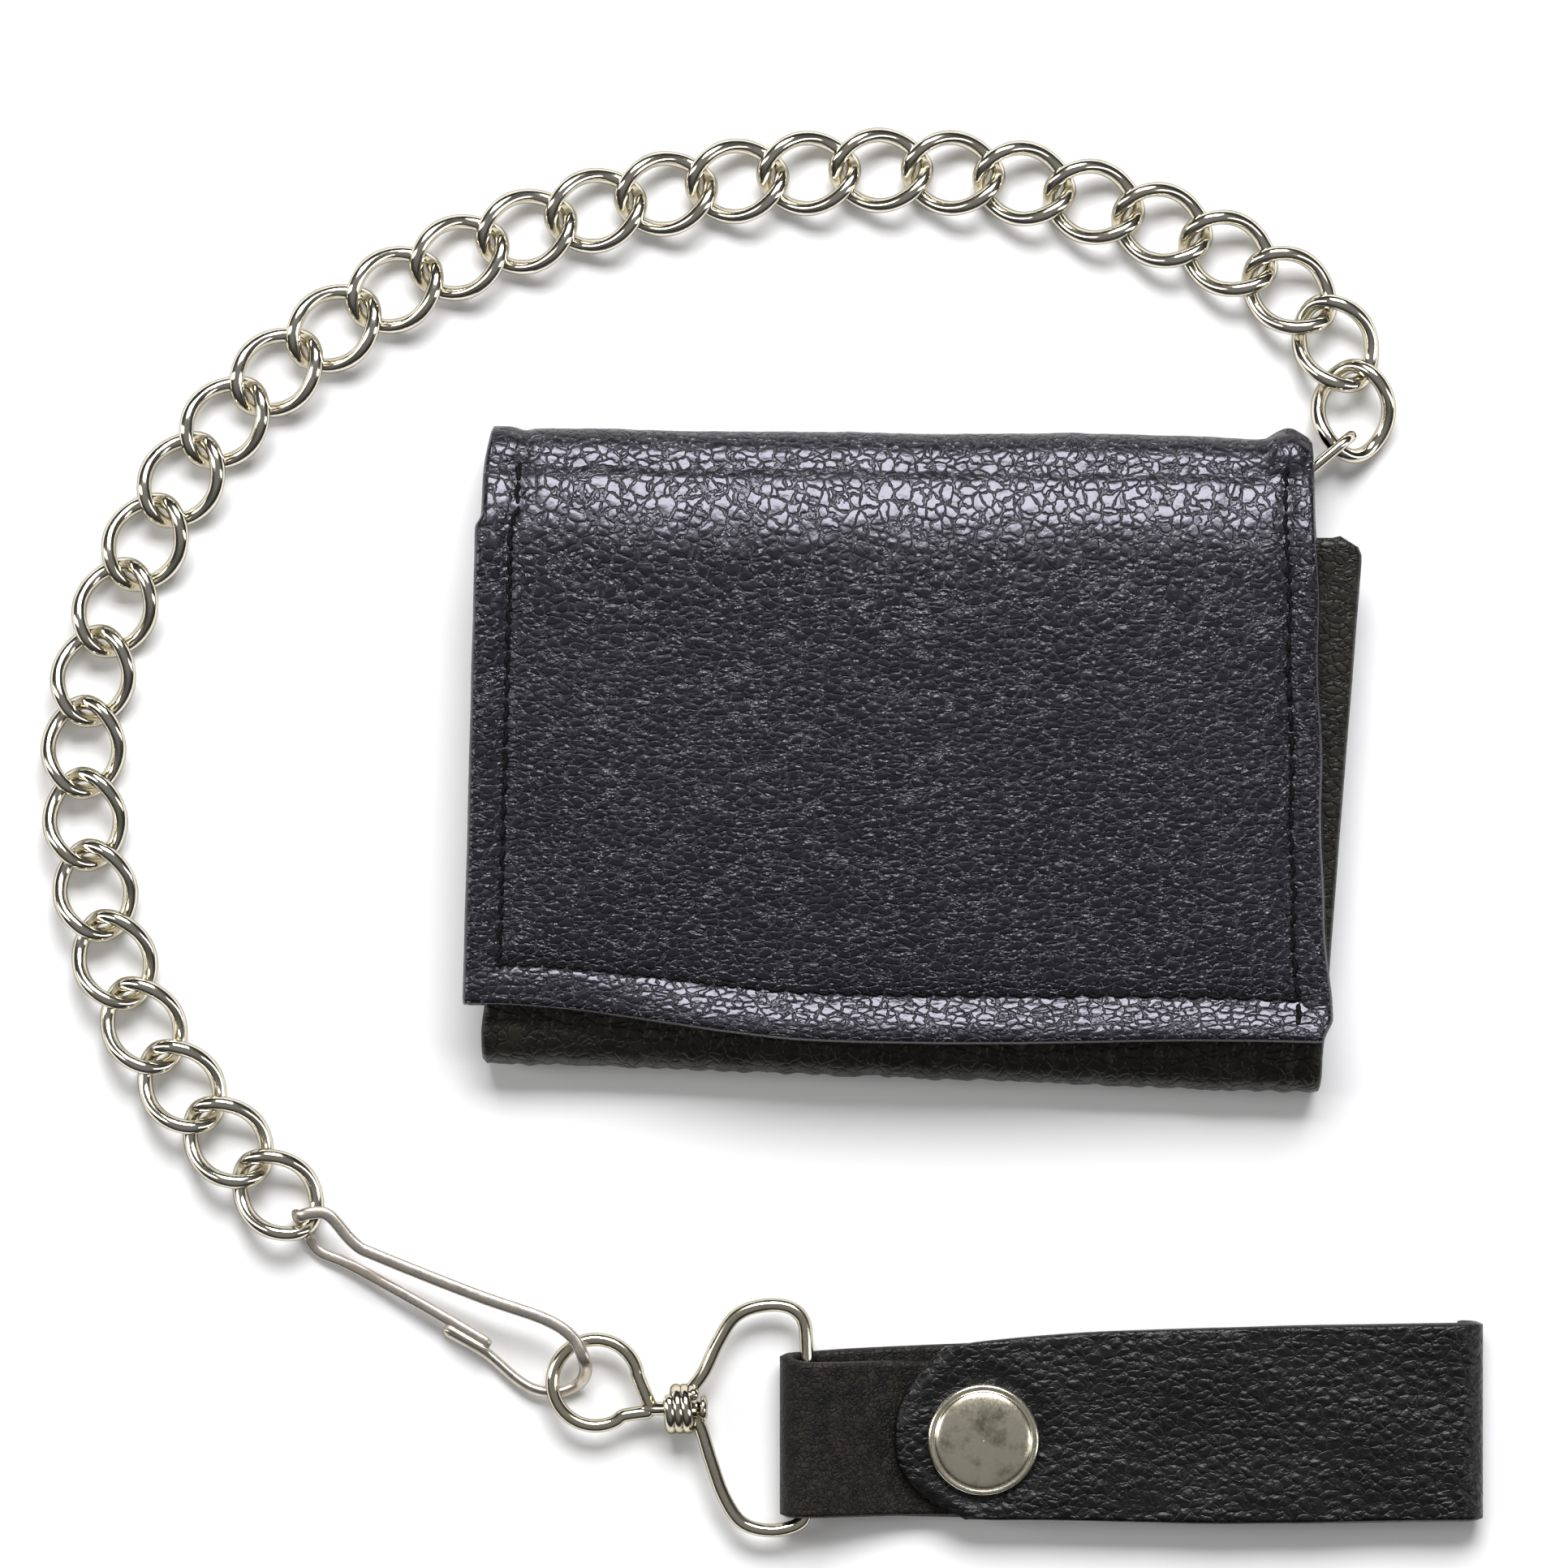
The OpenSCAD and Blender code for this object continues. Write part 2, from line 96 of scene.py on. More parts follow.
def piece(name, verts, faces, material, body, slot, nodes=(), uv=None, blend=None):
    """A mesh object from millimetre points. It rides on a body, or is left on no body where blend is given.
    """
    mesh = bpy.data.meshes.new(name)
    mesh.from_pydata((np.asarray(verts, float) * MM).tolist(), [], faces)
    if uv is not None:
        layer = mesh.uv_layers.new(name="grain")
        index = np.empty(len(mesh.loops), int)
        mesh.loops.foreach_get("vertex_index", index)
        layer.data.foreach_set("uv", np.asarray(uv, float)[index].ravel())
    work = bmesh.new()
    work.from_mesh(mesh)
    bmesh.ops.recalc_face_normals(work, faces=work.faces)
    work.to_mesh(mesh)
    work.free()
    mesh.polygons.foreach_set("use_smooth", [True] * len(mesh.polygons))
    mesh.materials.append(material)
    obj = new_object(name, mesh)
    if nodes:
        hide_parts(*nodes)
    if blend:
        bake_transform(obj)
    else:
        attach(obj, body)
    return obj


def bend(to, x, y, low, high):
    """A record of a bend at (x, y), from a piece's own body at the height low to the body named by to at
    high. piece only uses it to leave the piece on no body.
    """
    return {"to": to, "start": (x * MM, y * MM, low * MM), "end": (x * MM, y * MM, high * MM)}


def spline(points, steps):
    """A smooth open line through the points, in a number of steps from each point to the next."""
    p = np.array(points, float)
    last = len(p) - 1
    out = []
    for i in range(last):
        a, b, c, d = (p[min(max(k, 0), last)] for k in (i - 1, i, i + 1, i + 2))
        for k in range(steps):
            t = k / steps
            out.append((2 * b + (c - a) * t + (2 * a - 5 * b + 4 * c - d) * t * t
                        + (3 * b - a - 3 * c + d) * t ** 3) / 2)
    return np.array(out + [p[-1]])


def frames(line, closed, up, start=0):
    """The tangent and two square directions at each point of a line.

    The first square direction is nearest to up at the point start, and turns as little as it can from there.
    """
    ahead = np.roll(line, -1, 0) if closed else np.vstack([line[1:], line[-1:]])
    behind = np.roll(line, 1, 0) if closed else np.vstack([line[:1], line[:-1]])
    tangent = unit(ahead - behind)
    side = np.zeros_like(tangent)
    for way in (range(start, len(line)), range(start, -1, -1)):
        carried = np.array(up, float)
        for k in way:
            carried = unit(carried - carried.dot(tangent[k]) * tangent[k])
            side[k] = carried
    return tangent, side, np.cross(tangent, side)


def tube(line, section, closed=False, up=(0, 0, 1), side=None, start=0.0):
    """A section of (a, b) offsets swept along a line, with rounded ends where the line is open.

    The section's a points along side, or along up at the share start of the line where side isn't given.
    """
    line = np.array(line, float)
    tangent, first, second = frames(line, closed, up, int(start * (len(line) - 1)))
    if side is not None:
        first = unit(side - (side * tangent).sum(1, keepdims=True) * tangent)
        second = np.cross(tangent, first)
    section = np.array(section, float)
    size = np.ones(len(line))
    if not closed:
        reach = np.abs(section).max()
        for share in (0.9, 0.55):
            push = reach * math.sqrt(1 - share * share) * 0.8
            line = np.vstack([line[:1] - tangent[:1] * push, line, line[-1:] + tangent[-1:] * push])
            tangent, first, second = (np.vstack([a[:1], a, a[-1:]]) for a in (tangent, first, second))
            size = np.concatenate([[share], size, [share]])
    n, m = len(line), len(section)
    offsets = first[:, None] * section[None, :, :1] + second[:, None] * section[None, :, 1:]
    verts = (line[:, None] + size[:, None, None] * offsets).reshape(-1, 3)
    faces = [(i * m + j, i * m + (j + 1) % m, (i + 1) % n * m + (j + 1) % m, (i + 1) % n * m + j)
             for i in range(n if closed else n - 1) for j in range(m)]
    if not closed:
        faces += [tuple(range(m))[::-1], tuple(range((n - 1) * m, n * m))]
    return verts, faces


def oval(a, b, count=14, power=1.0):
    """Points of an oval section; a power under 1 squares it off."""
    angles = np.linspace(0, 2 * math.pi, count, endpoint=False)
    c, s = np.cos(angles), np.sin(angles)
    return np.stack([a * np.sign(c) * np.abs(c) ** power, b * np.sign(s) * np.abs(s) ** power], 1)


def arc_points(x, y, a, b, start, end, count):
    """Points of an oval's arc about (x, y), with the radii a and b, between two angles."""
    return [(x + a * math.cos(t), y + b * math.sin(t)) for t in np.linspace(start, end, count)]


def joined(parts):
    """Several (verts, faces) as one."""
    verts, faces, first = [], [], 0
    for v, f in parts:
        verts.append(np.asarray(v))
        faces += [tuple(i + first for i in face) for face in f]
        first += len(v)
    return np.vstack(verts), faces


def lathe(profile, centre, axis="z", count=72):
    """A closed (radius, height) profile turned about an axis through centre."""
    profile = np.array(profile, float)
    angles = np.linspace(0, 2 * math.pi, count, endpoint=False)
    m = len(profile)
    r, h = profile[:, 0], profile[:, 1]
    ring = np.stack([np.cos(angles)[:, None] * r, np.sin(angles)[:, None] * r,
                     np.broadcast_to(h, (count, m))], -1)
    if axis == "x":
        ring = ring[..., [2, 0, 1]]
    verts = (ring + np.array(centre, float)).reshape(-1, 3)
    faces = [(i * m + j, (i + 1) % count * m + j, (i + 1) % count * m + (j + 1) % m, i * m + (j + 1) % m)
             for i in range(count) for j in range(m)]
    return verts, faces


def slab(outer, thickness, bulge=0.3):
    """A closed sheet from a grid of points on its outer face, with its border's places in the grid.

    The edges are round: they stand out by the share bulge of the thickness.
    """
    rows, cols = outer.shape[:2]
    du = np.gradient(outer, axis=0)
    dv = np.gradient(outer, axis=1)
    normal = unit(np.cross(du, dv))
    inner = outer - normal * thickness
    border = ([(i, 0) for i in range(rows)] + [(rows - 1, j) for j in range(1, cols)]
              + [(i, cols - 1) for i in range(rows - 2, -1, -1)] + [(0, j) for j in range(cols - 2, 0, -1)])
    edge = []
    for i, j in border:
        step = np.zeros(3)
        if i == 0:
            step -= unit(du[i, j])
        if i == rows - 1:
            step += unit(du[i, j])
        if j == 0:
            step -= unit(dv[i, j])
        if j == cols - 1:
            step += unit(dv[i, j])
        edge.append(outer[i, j] - normal[i, j] * thickness / 2 + unit(step) * thickness * bulge)
    verts = np.vstack([outer.reshape(-1, 3), inner.reshape(-1, 3), np.array(edge)])
    size = rows * cols
    faces = []
    for i in range(rows - 1):
        for j in range(cols - 1):
            a, b, c, d = i * cols + j, i * cols + j + 1, (i + 1) * cols + j + 1, (i + 1) * cols + j
            faces.append((a, d, c, b))
            faces.append((size + a, size + b, size + c, size + d))
    border = [i * cols + j for i, j in border]
    count = len(border)
    for k in range(count):
        a, b = border[k], border[(k + 1) % count]
        m, n = 2 * size + k, 2 * size + (k + 1) % count
        faces.append((a, m, n, b))
        faces.append((m, size + a, size + b, n))
    return verts, faces, border


def slab_uv(uv, border):
    """A slab's grain map from that of its outer face."""
    flat = uv.reshape(-1, 2)
    return np.vstack([flat, flat, flat[border]])


def soft(x, width):
    """0 below 0, 1 above width, smooth between."""
    t = np.clip(x / width, 0, 1)
    return t * t * (3 - 2 * t)


def ramp(x, width):
    """The area under soft: 0 below 0, and a straight slope of 1 above width."""
    t = np.clip(x / width, 0, 1)
    return width * (t ** 3 - t ** 4 / 2) + np.maximum(x - width, 0)


def hump(x, width):
    """1 at 0, and falling to almost nothing at twice the width on both sides."""
    return np.exp(-(x / width) ** 2)


def waves(x, y, scale, seed):
    """Smooth noise at each (x, y), between about -1 and 1."""
    shape = np.broadcast(x, y).shape
    x, y = np.broadcast_to(x, shape).ravel(), np.broadcast_to(y, shape).ravel()
    values = [noise.noise(Vector((a / scale, b / scale, seed))) for a, b in zip(x, y)]
    return np.array(values).reshape(shape) * 1.6


def rows_between(*stretches):
    """Distances along a line: each stretch is (start, end, step)."""
    values = [np.linspace(a, b, max(int(round(abs(b - a) / step)), 1), endpoint=False)
              for a, b, step in stretches]
    return np.concatenate(values + [[stretches[-1][1]]])


# ---------------- materials

def shader(name):
    """An empty material, its node tree and its surface node."""
    material = bpy.data.materials.new(name)
    material.use_nodes = True
    tree = material.node_tree
    tree.nodes.clear()
    out = tree.nodes.new("ShaderNodeOutputMaterial")
    surface = tree.nodes.new("ShaderNodeBsdfPrincipled")
    tree.links.new(surface.outputs[0], out.inputs[0])
    return material, tree, surface


def add(tree, kind, inputs=None, **settings):
    """A node whose inputs are values or other nodes' outputs."""
    made = tree.nodes.new(kind)
    for key, value in settings.items():
        setattr(made, key, value)
    for key, value in (inputs or {}).items():
        if isinstance(value, bpy.types.NodeSocket):
            tree.links.new(value, made.inputs[key])
        else:
            made.inputs[key].default_value = value
    return made


def link(tree, source, surface, key):
    tree.links.new(source, surface.inputs[key])


def mix(tree, share, a, b):
    """Colour a where share is 0 and b where it is 1."""
    return add(tree, "ShaderNodeMix", {0: share, 6: a, 7: b}, data_type="RGBA").outputs[2]


def stretch(tree, value, low, high, to_low=0.0, to_high=1.0):
    """The value's range low to high, spread smoothly over to_low to to_high."""
    limits = {0: value, 1: low, 2: high, 3: to_low, 4: to_high}
    return add(tree, "ShaderNodeMapRange", limits, interpolation_type="SMOOTHSTEP").outputs[0]


def plus(tree, a, b):
    return add(tree, "ShaderNodeMath", {0: a, 1: b}, operation="ADD").outputs[0]


def times(tree, a, b):
    return add(tree, "ShaderNodeMath", {0: a, 1: b}, operation="MULTIPLY").outputs[0]


def noise_map(tree, where, scale, detail=2.0, rough=0.5):
    limits = {"Vector": where, "Scale": scale, "Detail": detail, "Roughness": rough}
    return add(tree, "ShaderNodeTexNoise", limits).outputs["Fac"]


def cell_map(tree, where, scale, feature):
    """How far each place is from its cell's edge or middle."""
    made = add(tree, "ShaderNodeTexVoronoi", {"Vector": where, "Scale": scale}, feature=feature)
    return made.outputs["Distance"]


def relief(tree, surface, height, strength, depth):
    """A bump of a depth in millimetres on the surface."""
    bump = add(tree, "ShaderNodeBump", {"Height": height, "Strength": strength, "Distance": depth * MM})
    link(tree, bump.outputs[0], surface, "Normal")


def leather(name, body, crease_shade, worn, depth, gloss, rough, fine=1.0, puff=0.16, groove=0.36, patch=0.07,
            tint=(1.0, 1.0, 1.0, 1)):
    """Pebbled leather: domed cells between thin creases, smaller pebbles across them and fine pores.

    It reads the grain map, in which a cell is about 1 across. body and worn are colours, and the colour for
    the creases is painted shade, laid into the creases and, more faintly, between the small pebbles. depth is
    the relief's height. puff, groove and fine are the shares in it of the domes, the creases, and the pebbles
    and pores. patch is the scale of the worn patches.
    """
    material, tree, surface = shader(name)
    where = add(tree, "ShaderNodeUVMap", uv_map="grain").outputs[0]
    drift = add(tree, "ShaderNodeTexNoise", {"Vector": where, "Scale": 0.8, "Detail": 3.0}).outputs["Color"]
    centred = add(tree, "ShaderNodeVectorMath", {0: drift, 1: (0.5, 0.5, 0.5)}, operation="SUBTRACT")
    moved = add(tree, "ShaderNodeVectorMath", {0: centred.outputs[0], 3: 1.3}, operation="SCALE")
    place = add(tree, "ShaderNodeVectorMath", {0: where, 1: moved.outputs[0]}, operation="ADD").outputs[0]
    cell = stretch(tree, cell_map(tree, place, 1.0, "DISTANCE_TO_EDGE"), 0.0, 0.14)
    dome = stretch(tree, cell_map(tree, place, 1.0, "F1"), 0.0, 0.75, 1.0, 0.0)
    pebble = stretch(tree, cell_map(tree, place, 2.3, "F1"), 0.0, 0.8, 1.0, 0.0)
    pores = noise_map(tree, where, 7.0, 4.0, 0.7)
    swell = noise_map(tree, where, 0.45)
    height = times(tree, cell, groove)
    for source, share in ((dome, puff), (pebble, 0.05 * fine), (pores, 0.06 * fine), (swell, 0.3)):
        height = plus(tree, height, times(tree, source, share))
    relief(tree, surface, height, 1.0, depth)

    patches = noise_map(tree, where, patch, 3.0)
    tone = mix(tree, stretch(tree, patches, 0.35, 0.7), body, worn)
    # Painted shade: the colour for the creases darkens the creases and, more faintly, the gaps between the
    # small pebbles.
    shade = times(tree, cell, stretch(tree, pebble, 0.0, 0.6, 0.7, 1.0))
    link(tree, mix(tree, shade, crease_shade, tone), surface, "Base Color")
    rough_at = stretch(tree, plus(tree, cell, pores), 0.4, 1.6, rough + 0.07, rough - 0.02)
    link(tree, rough_at, surface, "Roughness")
    surface.inputs["Specular IOR Level"].default_value = gloss
    surface.inputs["Specular Tint"].default_value = tint
    return material


def nickel(name, colour, dull, rough, grime, scratch=0.03):
    """Nickel plate: faint cloudy tarnish, fine scratches and a slight unevenness in the polish."""
    material, tree, surface = shader(name)
    where = add(tree, "ShaderNodeTexCoord").outputs["Object"]
    clouds = noise_map(tree, where, 330.0, 4.0, 0.6)
    lines = noise_map(tree, where, 2600.0)
    share = stretch(tree, clouds, 0.42, 0.75, 0.0, grime)
    link(tree, mix(tree, share, colour, dull), surface, "Base Color")
    both = plus(tree, clouds, times(tree, lines, 0.5))
    link(tree, stretch(tree, both, 0.5, 1.1, rough, rough + 0.14), surface, "Roughness")
    relief(tree, surface, both, 0.35, scratch)
    surface.inputs["Metallic"].default_value = 1.0
    # Painted shade: the dark edge tint darkens the metal's reflections towards the rims of every wire.
    surface.inputs["Specular Tint"].default_value = (0.2, 0.17, 0.1, 1)
    return material


def thread_material():
    """Twisted black polyester thread."""
    material, tree, surface = shader("thread")
    where = add(tree, "ShaderNodeTexCoord").outputs["Object"]
    strands = {"Vector": where, "Scale": 1500.0, "Distortion": 2.0}
    twist = add(tree, "ShaderNodeTexWave", strands, bands_direction="DIAGONAL").outputs["Fac"]
    fuzz = noise_map(tree, where, 4000.0)
    black, grey = (0.0008, 0.0008, 0.001, 1), (0.004, 0.004, 0.005, 1)
    link(tree, mix(tree, twist, black, grey), surface, "Base Color")
    link(tree, stretch(tree, fuzz, 0.3, 0.7, 0.45, 0.7), surface, "Roughness")
    relief(tree, surface, twist, 0.6, 0.05)
    surface.inputs["Specular IOR Level"].default_value = 0.12
    return material


def window_material():
    """Clear vinyl with faint scuffs."""
    material, tree, surface = shader("clear_vinyl")
    where = add(tree, "ShaderNodeTexCoord").outputs["Object"]
    scuff = noise_map(tree, where, 260.0, 5.0)
    link(tree, stretch(tree, scuff, 0.35, 0.75, 0.06, 0.35), surface, "Roughness")
    relief(tree, surface, scuff, 0.3, 0.05)
    surface.inputs["Base Color"].default_value = (0.8, 0.84, 0.86, 1)
    surface.inputs["Transmission Weight"].default_value = 0.9
    surface.inputs["IOR"].default_value = 1.45
    return material


SKIN = leather(
    "wallet_skin", body=(0.0047, 0.0044, 0.0067, 1), crease_shade=(0.0004, 0.0004, 0.0006, 1),
    worn=(0.0075, 0.0069, 0.0098, 1), depth=0.28, gloss=0.72, rough=0.28, fine=0.4, puff=0.2,
    tint=(0.9, 0.87, 1.0, 1))
FOLD_SKIN = leather(
    "fold_skin", body=(0.0055, 0.0047, 0.0032, 1), crease_shade=(0.0008, 0.0007, 0.0005, 1),
    worn=(0.015, 0.013, 0.008, 1), depth=0.22, gloss=0.36, rough=0.42, patch=0.4,
    tint=(1.0, 0.98, 0.9, 1))
STRAP_SKIN = leather(
    "strap_skin", body=(0.0036, 0.0034, 0.0042, 1), crease_shade=(0.0005, 0.0005, 0.0006, 1),
    worn=(0.0062, 0.0057, 0.006, 1), depth=0.24, gloss=0.36, rough=0.36, puff=0.6, groove=0.16)
NECK_SKIN = leather(
    "neck_skin", body=(0.0042, 0.0034, 0.0026, 1), crease_shade=(0.0008, 0.0007, 0.0005, 1),
    worn=(0.022, 0.018, 0.0115, 1), depth=0.14, gloss=0.25, rough=0.46, fine=4.0, patch=0.35)
LINING = leather(
    "lining_skin", body=(0.008, 0.0076, 0.0082, 1), crease_shade=(0.003, 0.003, 0.003, 1),
    worn=(0.011, 0.0105, 0.011, 1), depth=0.08, gloss=0.3, rough=0.6, fine=4.0)
CHAIN_METAL = nickel("chain_nickel_plate", (0.80, 0.76, 0.65, 1), (0.40, 0.36, 0.24, 1), 0.07, 0.35)
HOOK_METAL = nickel("hook_nickel_plate", (0.72, 0.66, 0.59, 1), (0.42, 0.36, 0.27, 1), 0.26, 0.5, 0.05)
SWIVEL_METAL = nickel("swivel_nickel_plate", (0.78, 0.73, 0.59, 1), (0.40, 0.36, 0.22, 1), 0.09, 0.4)
SNAP_METAL = nickel("snap_nickel_plate", (0.92, 0.86, 0.68, 1), (0.2, 0.18, 0.12, 1), 0.17, 0.95)
THREAD = thread_material()
VINYL = window_material()

# ---------------- wallet

# CELL is a pebble's width, and GROUND is how far the leather stays above the surface it lies on. The two
# shells of the outer leather end at FLAP_SHELL_END and BACK_SHELL_END, along Y, in the middle of the back.
LEATHER_T = 1.4
CELL = 1.6
GROUND = 0.03
FLAP_SHELL_END = 1.0
BACK_SHELL_END = 0.2
back_low, back_high = box("back_outer")
flap_low, flap_high = box("flap_outer")
inner_high = box("inner_outer")[1]
TOP = JOINT["flap_fold"]
BOTTOM = JOINT["inner_fold"]
TOP_R = TOP[2]
BOTTOM_R = BOTTOM[2]
ARC = math.pi * TOP_R
FLAP_LEN = TOP[1] - flap_low[1]


def stack_point(x, s, hinge, radius, sign):
    """Base point and outward direction of the outer leather at x, at a distance s along it from a fold.

    s is 0 on the fold's hinge line, under 0 on the panel above the fold, and over pi times radius on the
    back. sign is 1 for the top fold and -1 for the bottom one.
    """
    arc = math.pi * radius
    above = s < 0
    below = s > arc
    a = np.clip(s, 0, arc) / radius
    y_fold = hinge[1] + sign * radius * np.sin(a)
    y = np.where(above, hinge[1] + sign * s, np.where(below, hinge[1] - sign * (s - arc), y_fold))
    z = np.where(above, 2 * radius, np.where(below, 0.0, radius + radius * np.cos(a)))
    out_y = np.where(above | below, 0.0, sign * np.sin(a))
    out_z = np.where(above, 1.0, np.where(below, -1.0, np.cos(a)))
    zero = np.zeros_like(y)
    return np.stack([x + zero, y, z], -1), np.stack([zero, out_y, out_z], -1)


def grain_uv(x, s, tight, loose, centre, reach):
    """Grain coordinates. A cell's length along s is loose at centre and tight further than reach from it."""
    fine = np.linspace(s.min() - 1, s.max() + 1, 400)
    size = tight + (loose - tight) * np.exp(-((fine - centre) / reach) ** 2)
    walked = np.concatenate([[0], np.cumsum(np.diff(fine) / ((size[1:] + size[:-1]) / 2))])
    return np.stack([x / CELL + 0 * s, np.interp(s, fine, walked)], -1)


def flap_left(s):
    """The flap's left edge: it flares out towards the free edge, with a step below the fold."""
    t = np.clip(-s / FLAP_LEN, 0, 1)
    flare = (back_low[0] - flap_low[0]) * t ** 1.1
    step = 0.75 * soft(-s - 4.6, 1.6)
    return back_low[0] - flare - step * (1 - t) + 0.9 * hump(s - ARC / 2, 5.5)


def flap_right(s):
    """The flap's right edge, with a wide foot, a rounded corner and room for the tie ring behind the fold."""
    t = np.clip(-s / FLAP_LEN, 0, 1)
    start = back_high[0] - 0.7
    foot = 1.1 * soft(t - 0.78, 0.16)
    corner = 1.3 * soft(t - 0.955, 0.045)
    ring_room = 2.9 * soft(s - 8, 3) * (1 - soft(s - ARC, 3))
    return start + 1.0 * t + foot - corner + 0.15 * np.sin(s / 3.1) - ring_room


def flap_share(x):
    """0 at the flap's left corner and 1 at its right one."""
    return (x - flap_low[0]) / (flap_high[0] - flap_low[0])


def flap_edge(x):
    """How far the free edge lies from the hinge line, at x."""
    t = flap_share(x)
    return FLAP_LEN - 4.3 * (1 - soft(t, 0.42)) - 0.4 * (1 - soft(t - 0.3, 0.4)) - 0.25 * np.sin(t * 9)


def left_seam(s):
    """The left seam's x at s."""
    return flap_left(s) + 4.1


def right_seam(s):
    """The right seam's x at s. It runs in a little near the free edge."""
    return flap_right(s) - 3.4 - 0.5 * soft(-s - 50, 15)


def bottom_seam(x):
    """Distance of the bottom seam from the hinge line, at x."""
    bow = 1.1 * np.sin(np.clip(flap_share(x), 0, 1) * math.pi)
    return flap_edge(x) - 5.0 - bow + 0.3


def fold_drop(s):
    """How far the flap's face sinks as it comes to the top fold, so that the fold is wide and soft."""
    slope = 0.35
    return slope * (ramp(s + 12, 13) - ramp(s, 4)) * (1 - soft(s - 1.5, 10))


def flap_relief(x, s, rough=True):
    """How far the flap's leather stands out of its base. rough adds its small unevenness."""
    left = x - left_seam(s)
    right = right_seam(s) - x
    low = s + bottom_seam(x)
    inside = np.minimum(np.minimum(left, right), low)
    on_flap = 1 - soft(s - 1.5 * TOP_R, 6)
    seam_dip, swell, contents, roll, side_lift, eyelet_bulge = 0.24, 0.75, 0.55, 1.3, 0.3, 1.9

    # the seams pull in, and the leather swells between them and over what the wallet holds
    h = -seam_dip * hump(inside, 0.9) * on_flap
    h += swell * (1 - np.exp(-np.maximum(inside, 0) / 5.5)) * on_flap * (0.45 + 0.55 * soft(-s, 18))
    h += contents * hump(x - 4, 40) * hump(s + 36, 30)

    # the free edge is turned in to a roll, and the sides stand up a little outside their seams
    rolled = roll * soft(-low, 5.2) * soft(x - flap_low[0] - 10, 26) + 0.25 * soft(-low, 3)
    h += np.where(low < 0, rolled, 0)
    lifted = side_lift * soft(-np.minimum(left, right), 2.5)
    h += np.where((left < 0) | (right < 0), lifted, 0) * on_flap

    # the fold, and the bulge over the eyelet at its right end
    h -= fold_drop(s)
    h += eyelet_bulge * hump(x - (back_high[0] - 3.6), 2.4) * hump(s - 7, 5)
    if rough:
        h += 0.22 * waves(x, s, 24, 1.5) * on_flap + 0.07 * waves(x, s, 5, 7.5)
        h += 0.10 * waves(x * 2.2, s * 0.35, 4.2, 3.1) * hump(s - 1, 9)
    return h


def flap_surface(x, s, rough=True):
    """Points of the flap shell's outer face. The fold runs askew: it stands out more at its left end."""
    base, out = stack_point(x, s, TOP, TOP_R, 1)
    h = np.where(s > ARC, 0.0, flap_relief(x, s, rough) * (1 - soft(s - ARC + 5, 5)))
    p = base + out * h[..., None]
    across = (x - back_low[0]) / (back_high[0] - back_low[0])
    p[..., 1] += (0.65 - 1.4 * across) * soft(s + 16, 16) * (1 - soft(s - ARC, 12))
    p[..., 2] = np.maximum(p[..., 2], GROUND)
    return p


def flap_shell():
    """The leather from the flap's free edge round the top fold to the back's middle. Returns its bend."""
    half_back = TOP[1] - FLAP_SHELL_END
    t_flap = np.linspace(1, 0, 136, endpoint=False)
    rest = rows_between((0, ARC, 0.55), (ARC, ARC + half_back, 1.6))
    across = np.linspace(1, 0, 216)
    grid_s = np.empty((len(t_flap) + len(rest), len(across)))
    grid_x = np.empty_like(grid_s)
    for k, t in enumerate(list(t_flap) + list(rest)):
        on_flap = k < len(t_flap)
        s = np.full(len(across), -t * FLAP_LEN if on_flap else t)
        for _ in range(2):
            x = flap_left(s) + (flap_right(s) - flap_left(s)) * across
            if on_flap:
                s = -t * flap_edge(x)
        grid_s[k] = s
        grid_x[k] = x
    verts, faces, border = slab(flap_surface(grid_x, grid_s), LEATHER_T)
    uv = slab_uv(grain_uv(grid_x, grid_s, tight=0.9, loose=1.7, centre=1, reach=15), border)
    blend = bend("flap", 0, TOP[1], LEATHER_T, 2 * TOP_R - 2 * LEATHER_T)
    shell = piece("flap_shell", verts, faces, SKIN, "wallet", "wallet_leather",
                  ("flap_outer", "top_fold"), uv, blend=blend)
    return blend


def back_surface(x, s):
    """Points of the back shell's outer face. s is under 0 on the inner panel."""
    base, out = stack_point(x, s, BOTTOM, BOTTOM_R, -1)
    arc = math.pi * BOTTOM_R
    near_fold = 1 - soft(-s, 14)
    off_back = 1 - soft(s - arc + 3, 3)
    wrinkle = 0.2 * waves(x * 2.6, s * 0.5, 4.0, 11.3) * near_fold * off_back
    wrinkle += 0.12 * waves(x, s, 9, 4.4) * off_back
    p = base + out * wrinkle[..., None]
    t = (x - back_low[0]) / (back_high[0] - back_low[0])
    p[..., 1] += (2.2 - 3.8 * t) * near_fold * (1 - soft(s - arc - 4, 10))
    p[..., 2] = np.maximum(p[..., 2], GROUND)
    return p


def inner_sides(s):
    """The inner panel's left and right edges, which lie askew of the back."""
    t = np.clip(-s / (inner_high[1] - BOTTOM[1]), 0, 1)
    left = back_low[0] + 5.7 * t
    right = back_high[0] + 0.4 + (inner_high[0] - 0.5 - back_high[0] - 0.4) * t
    return left, right


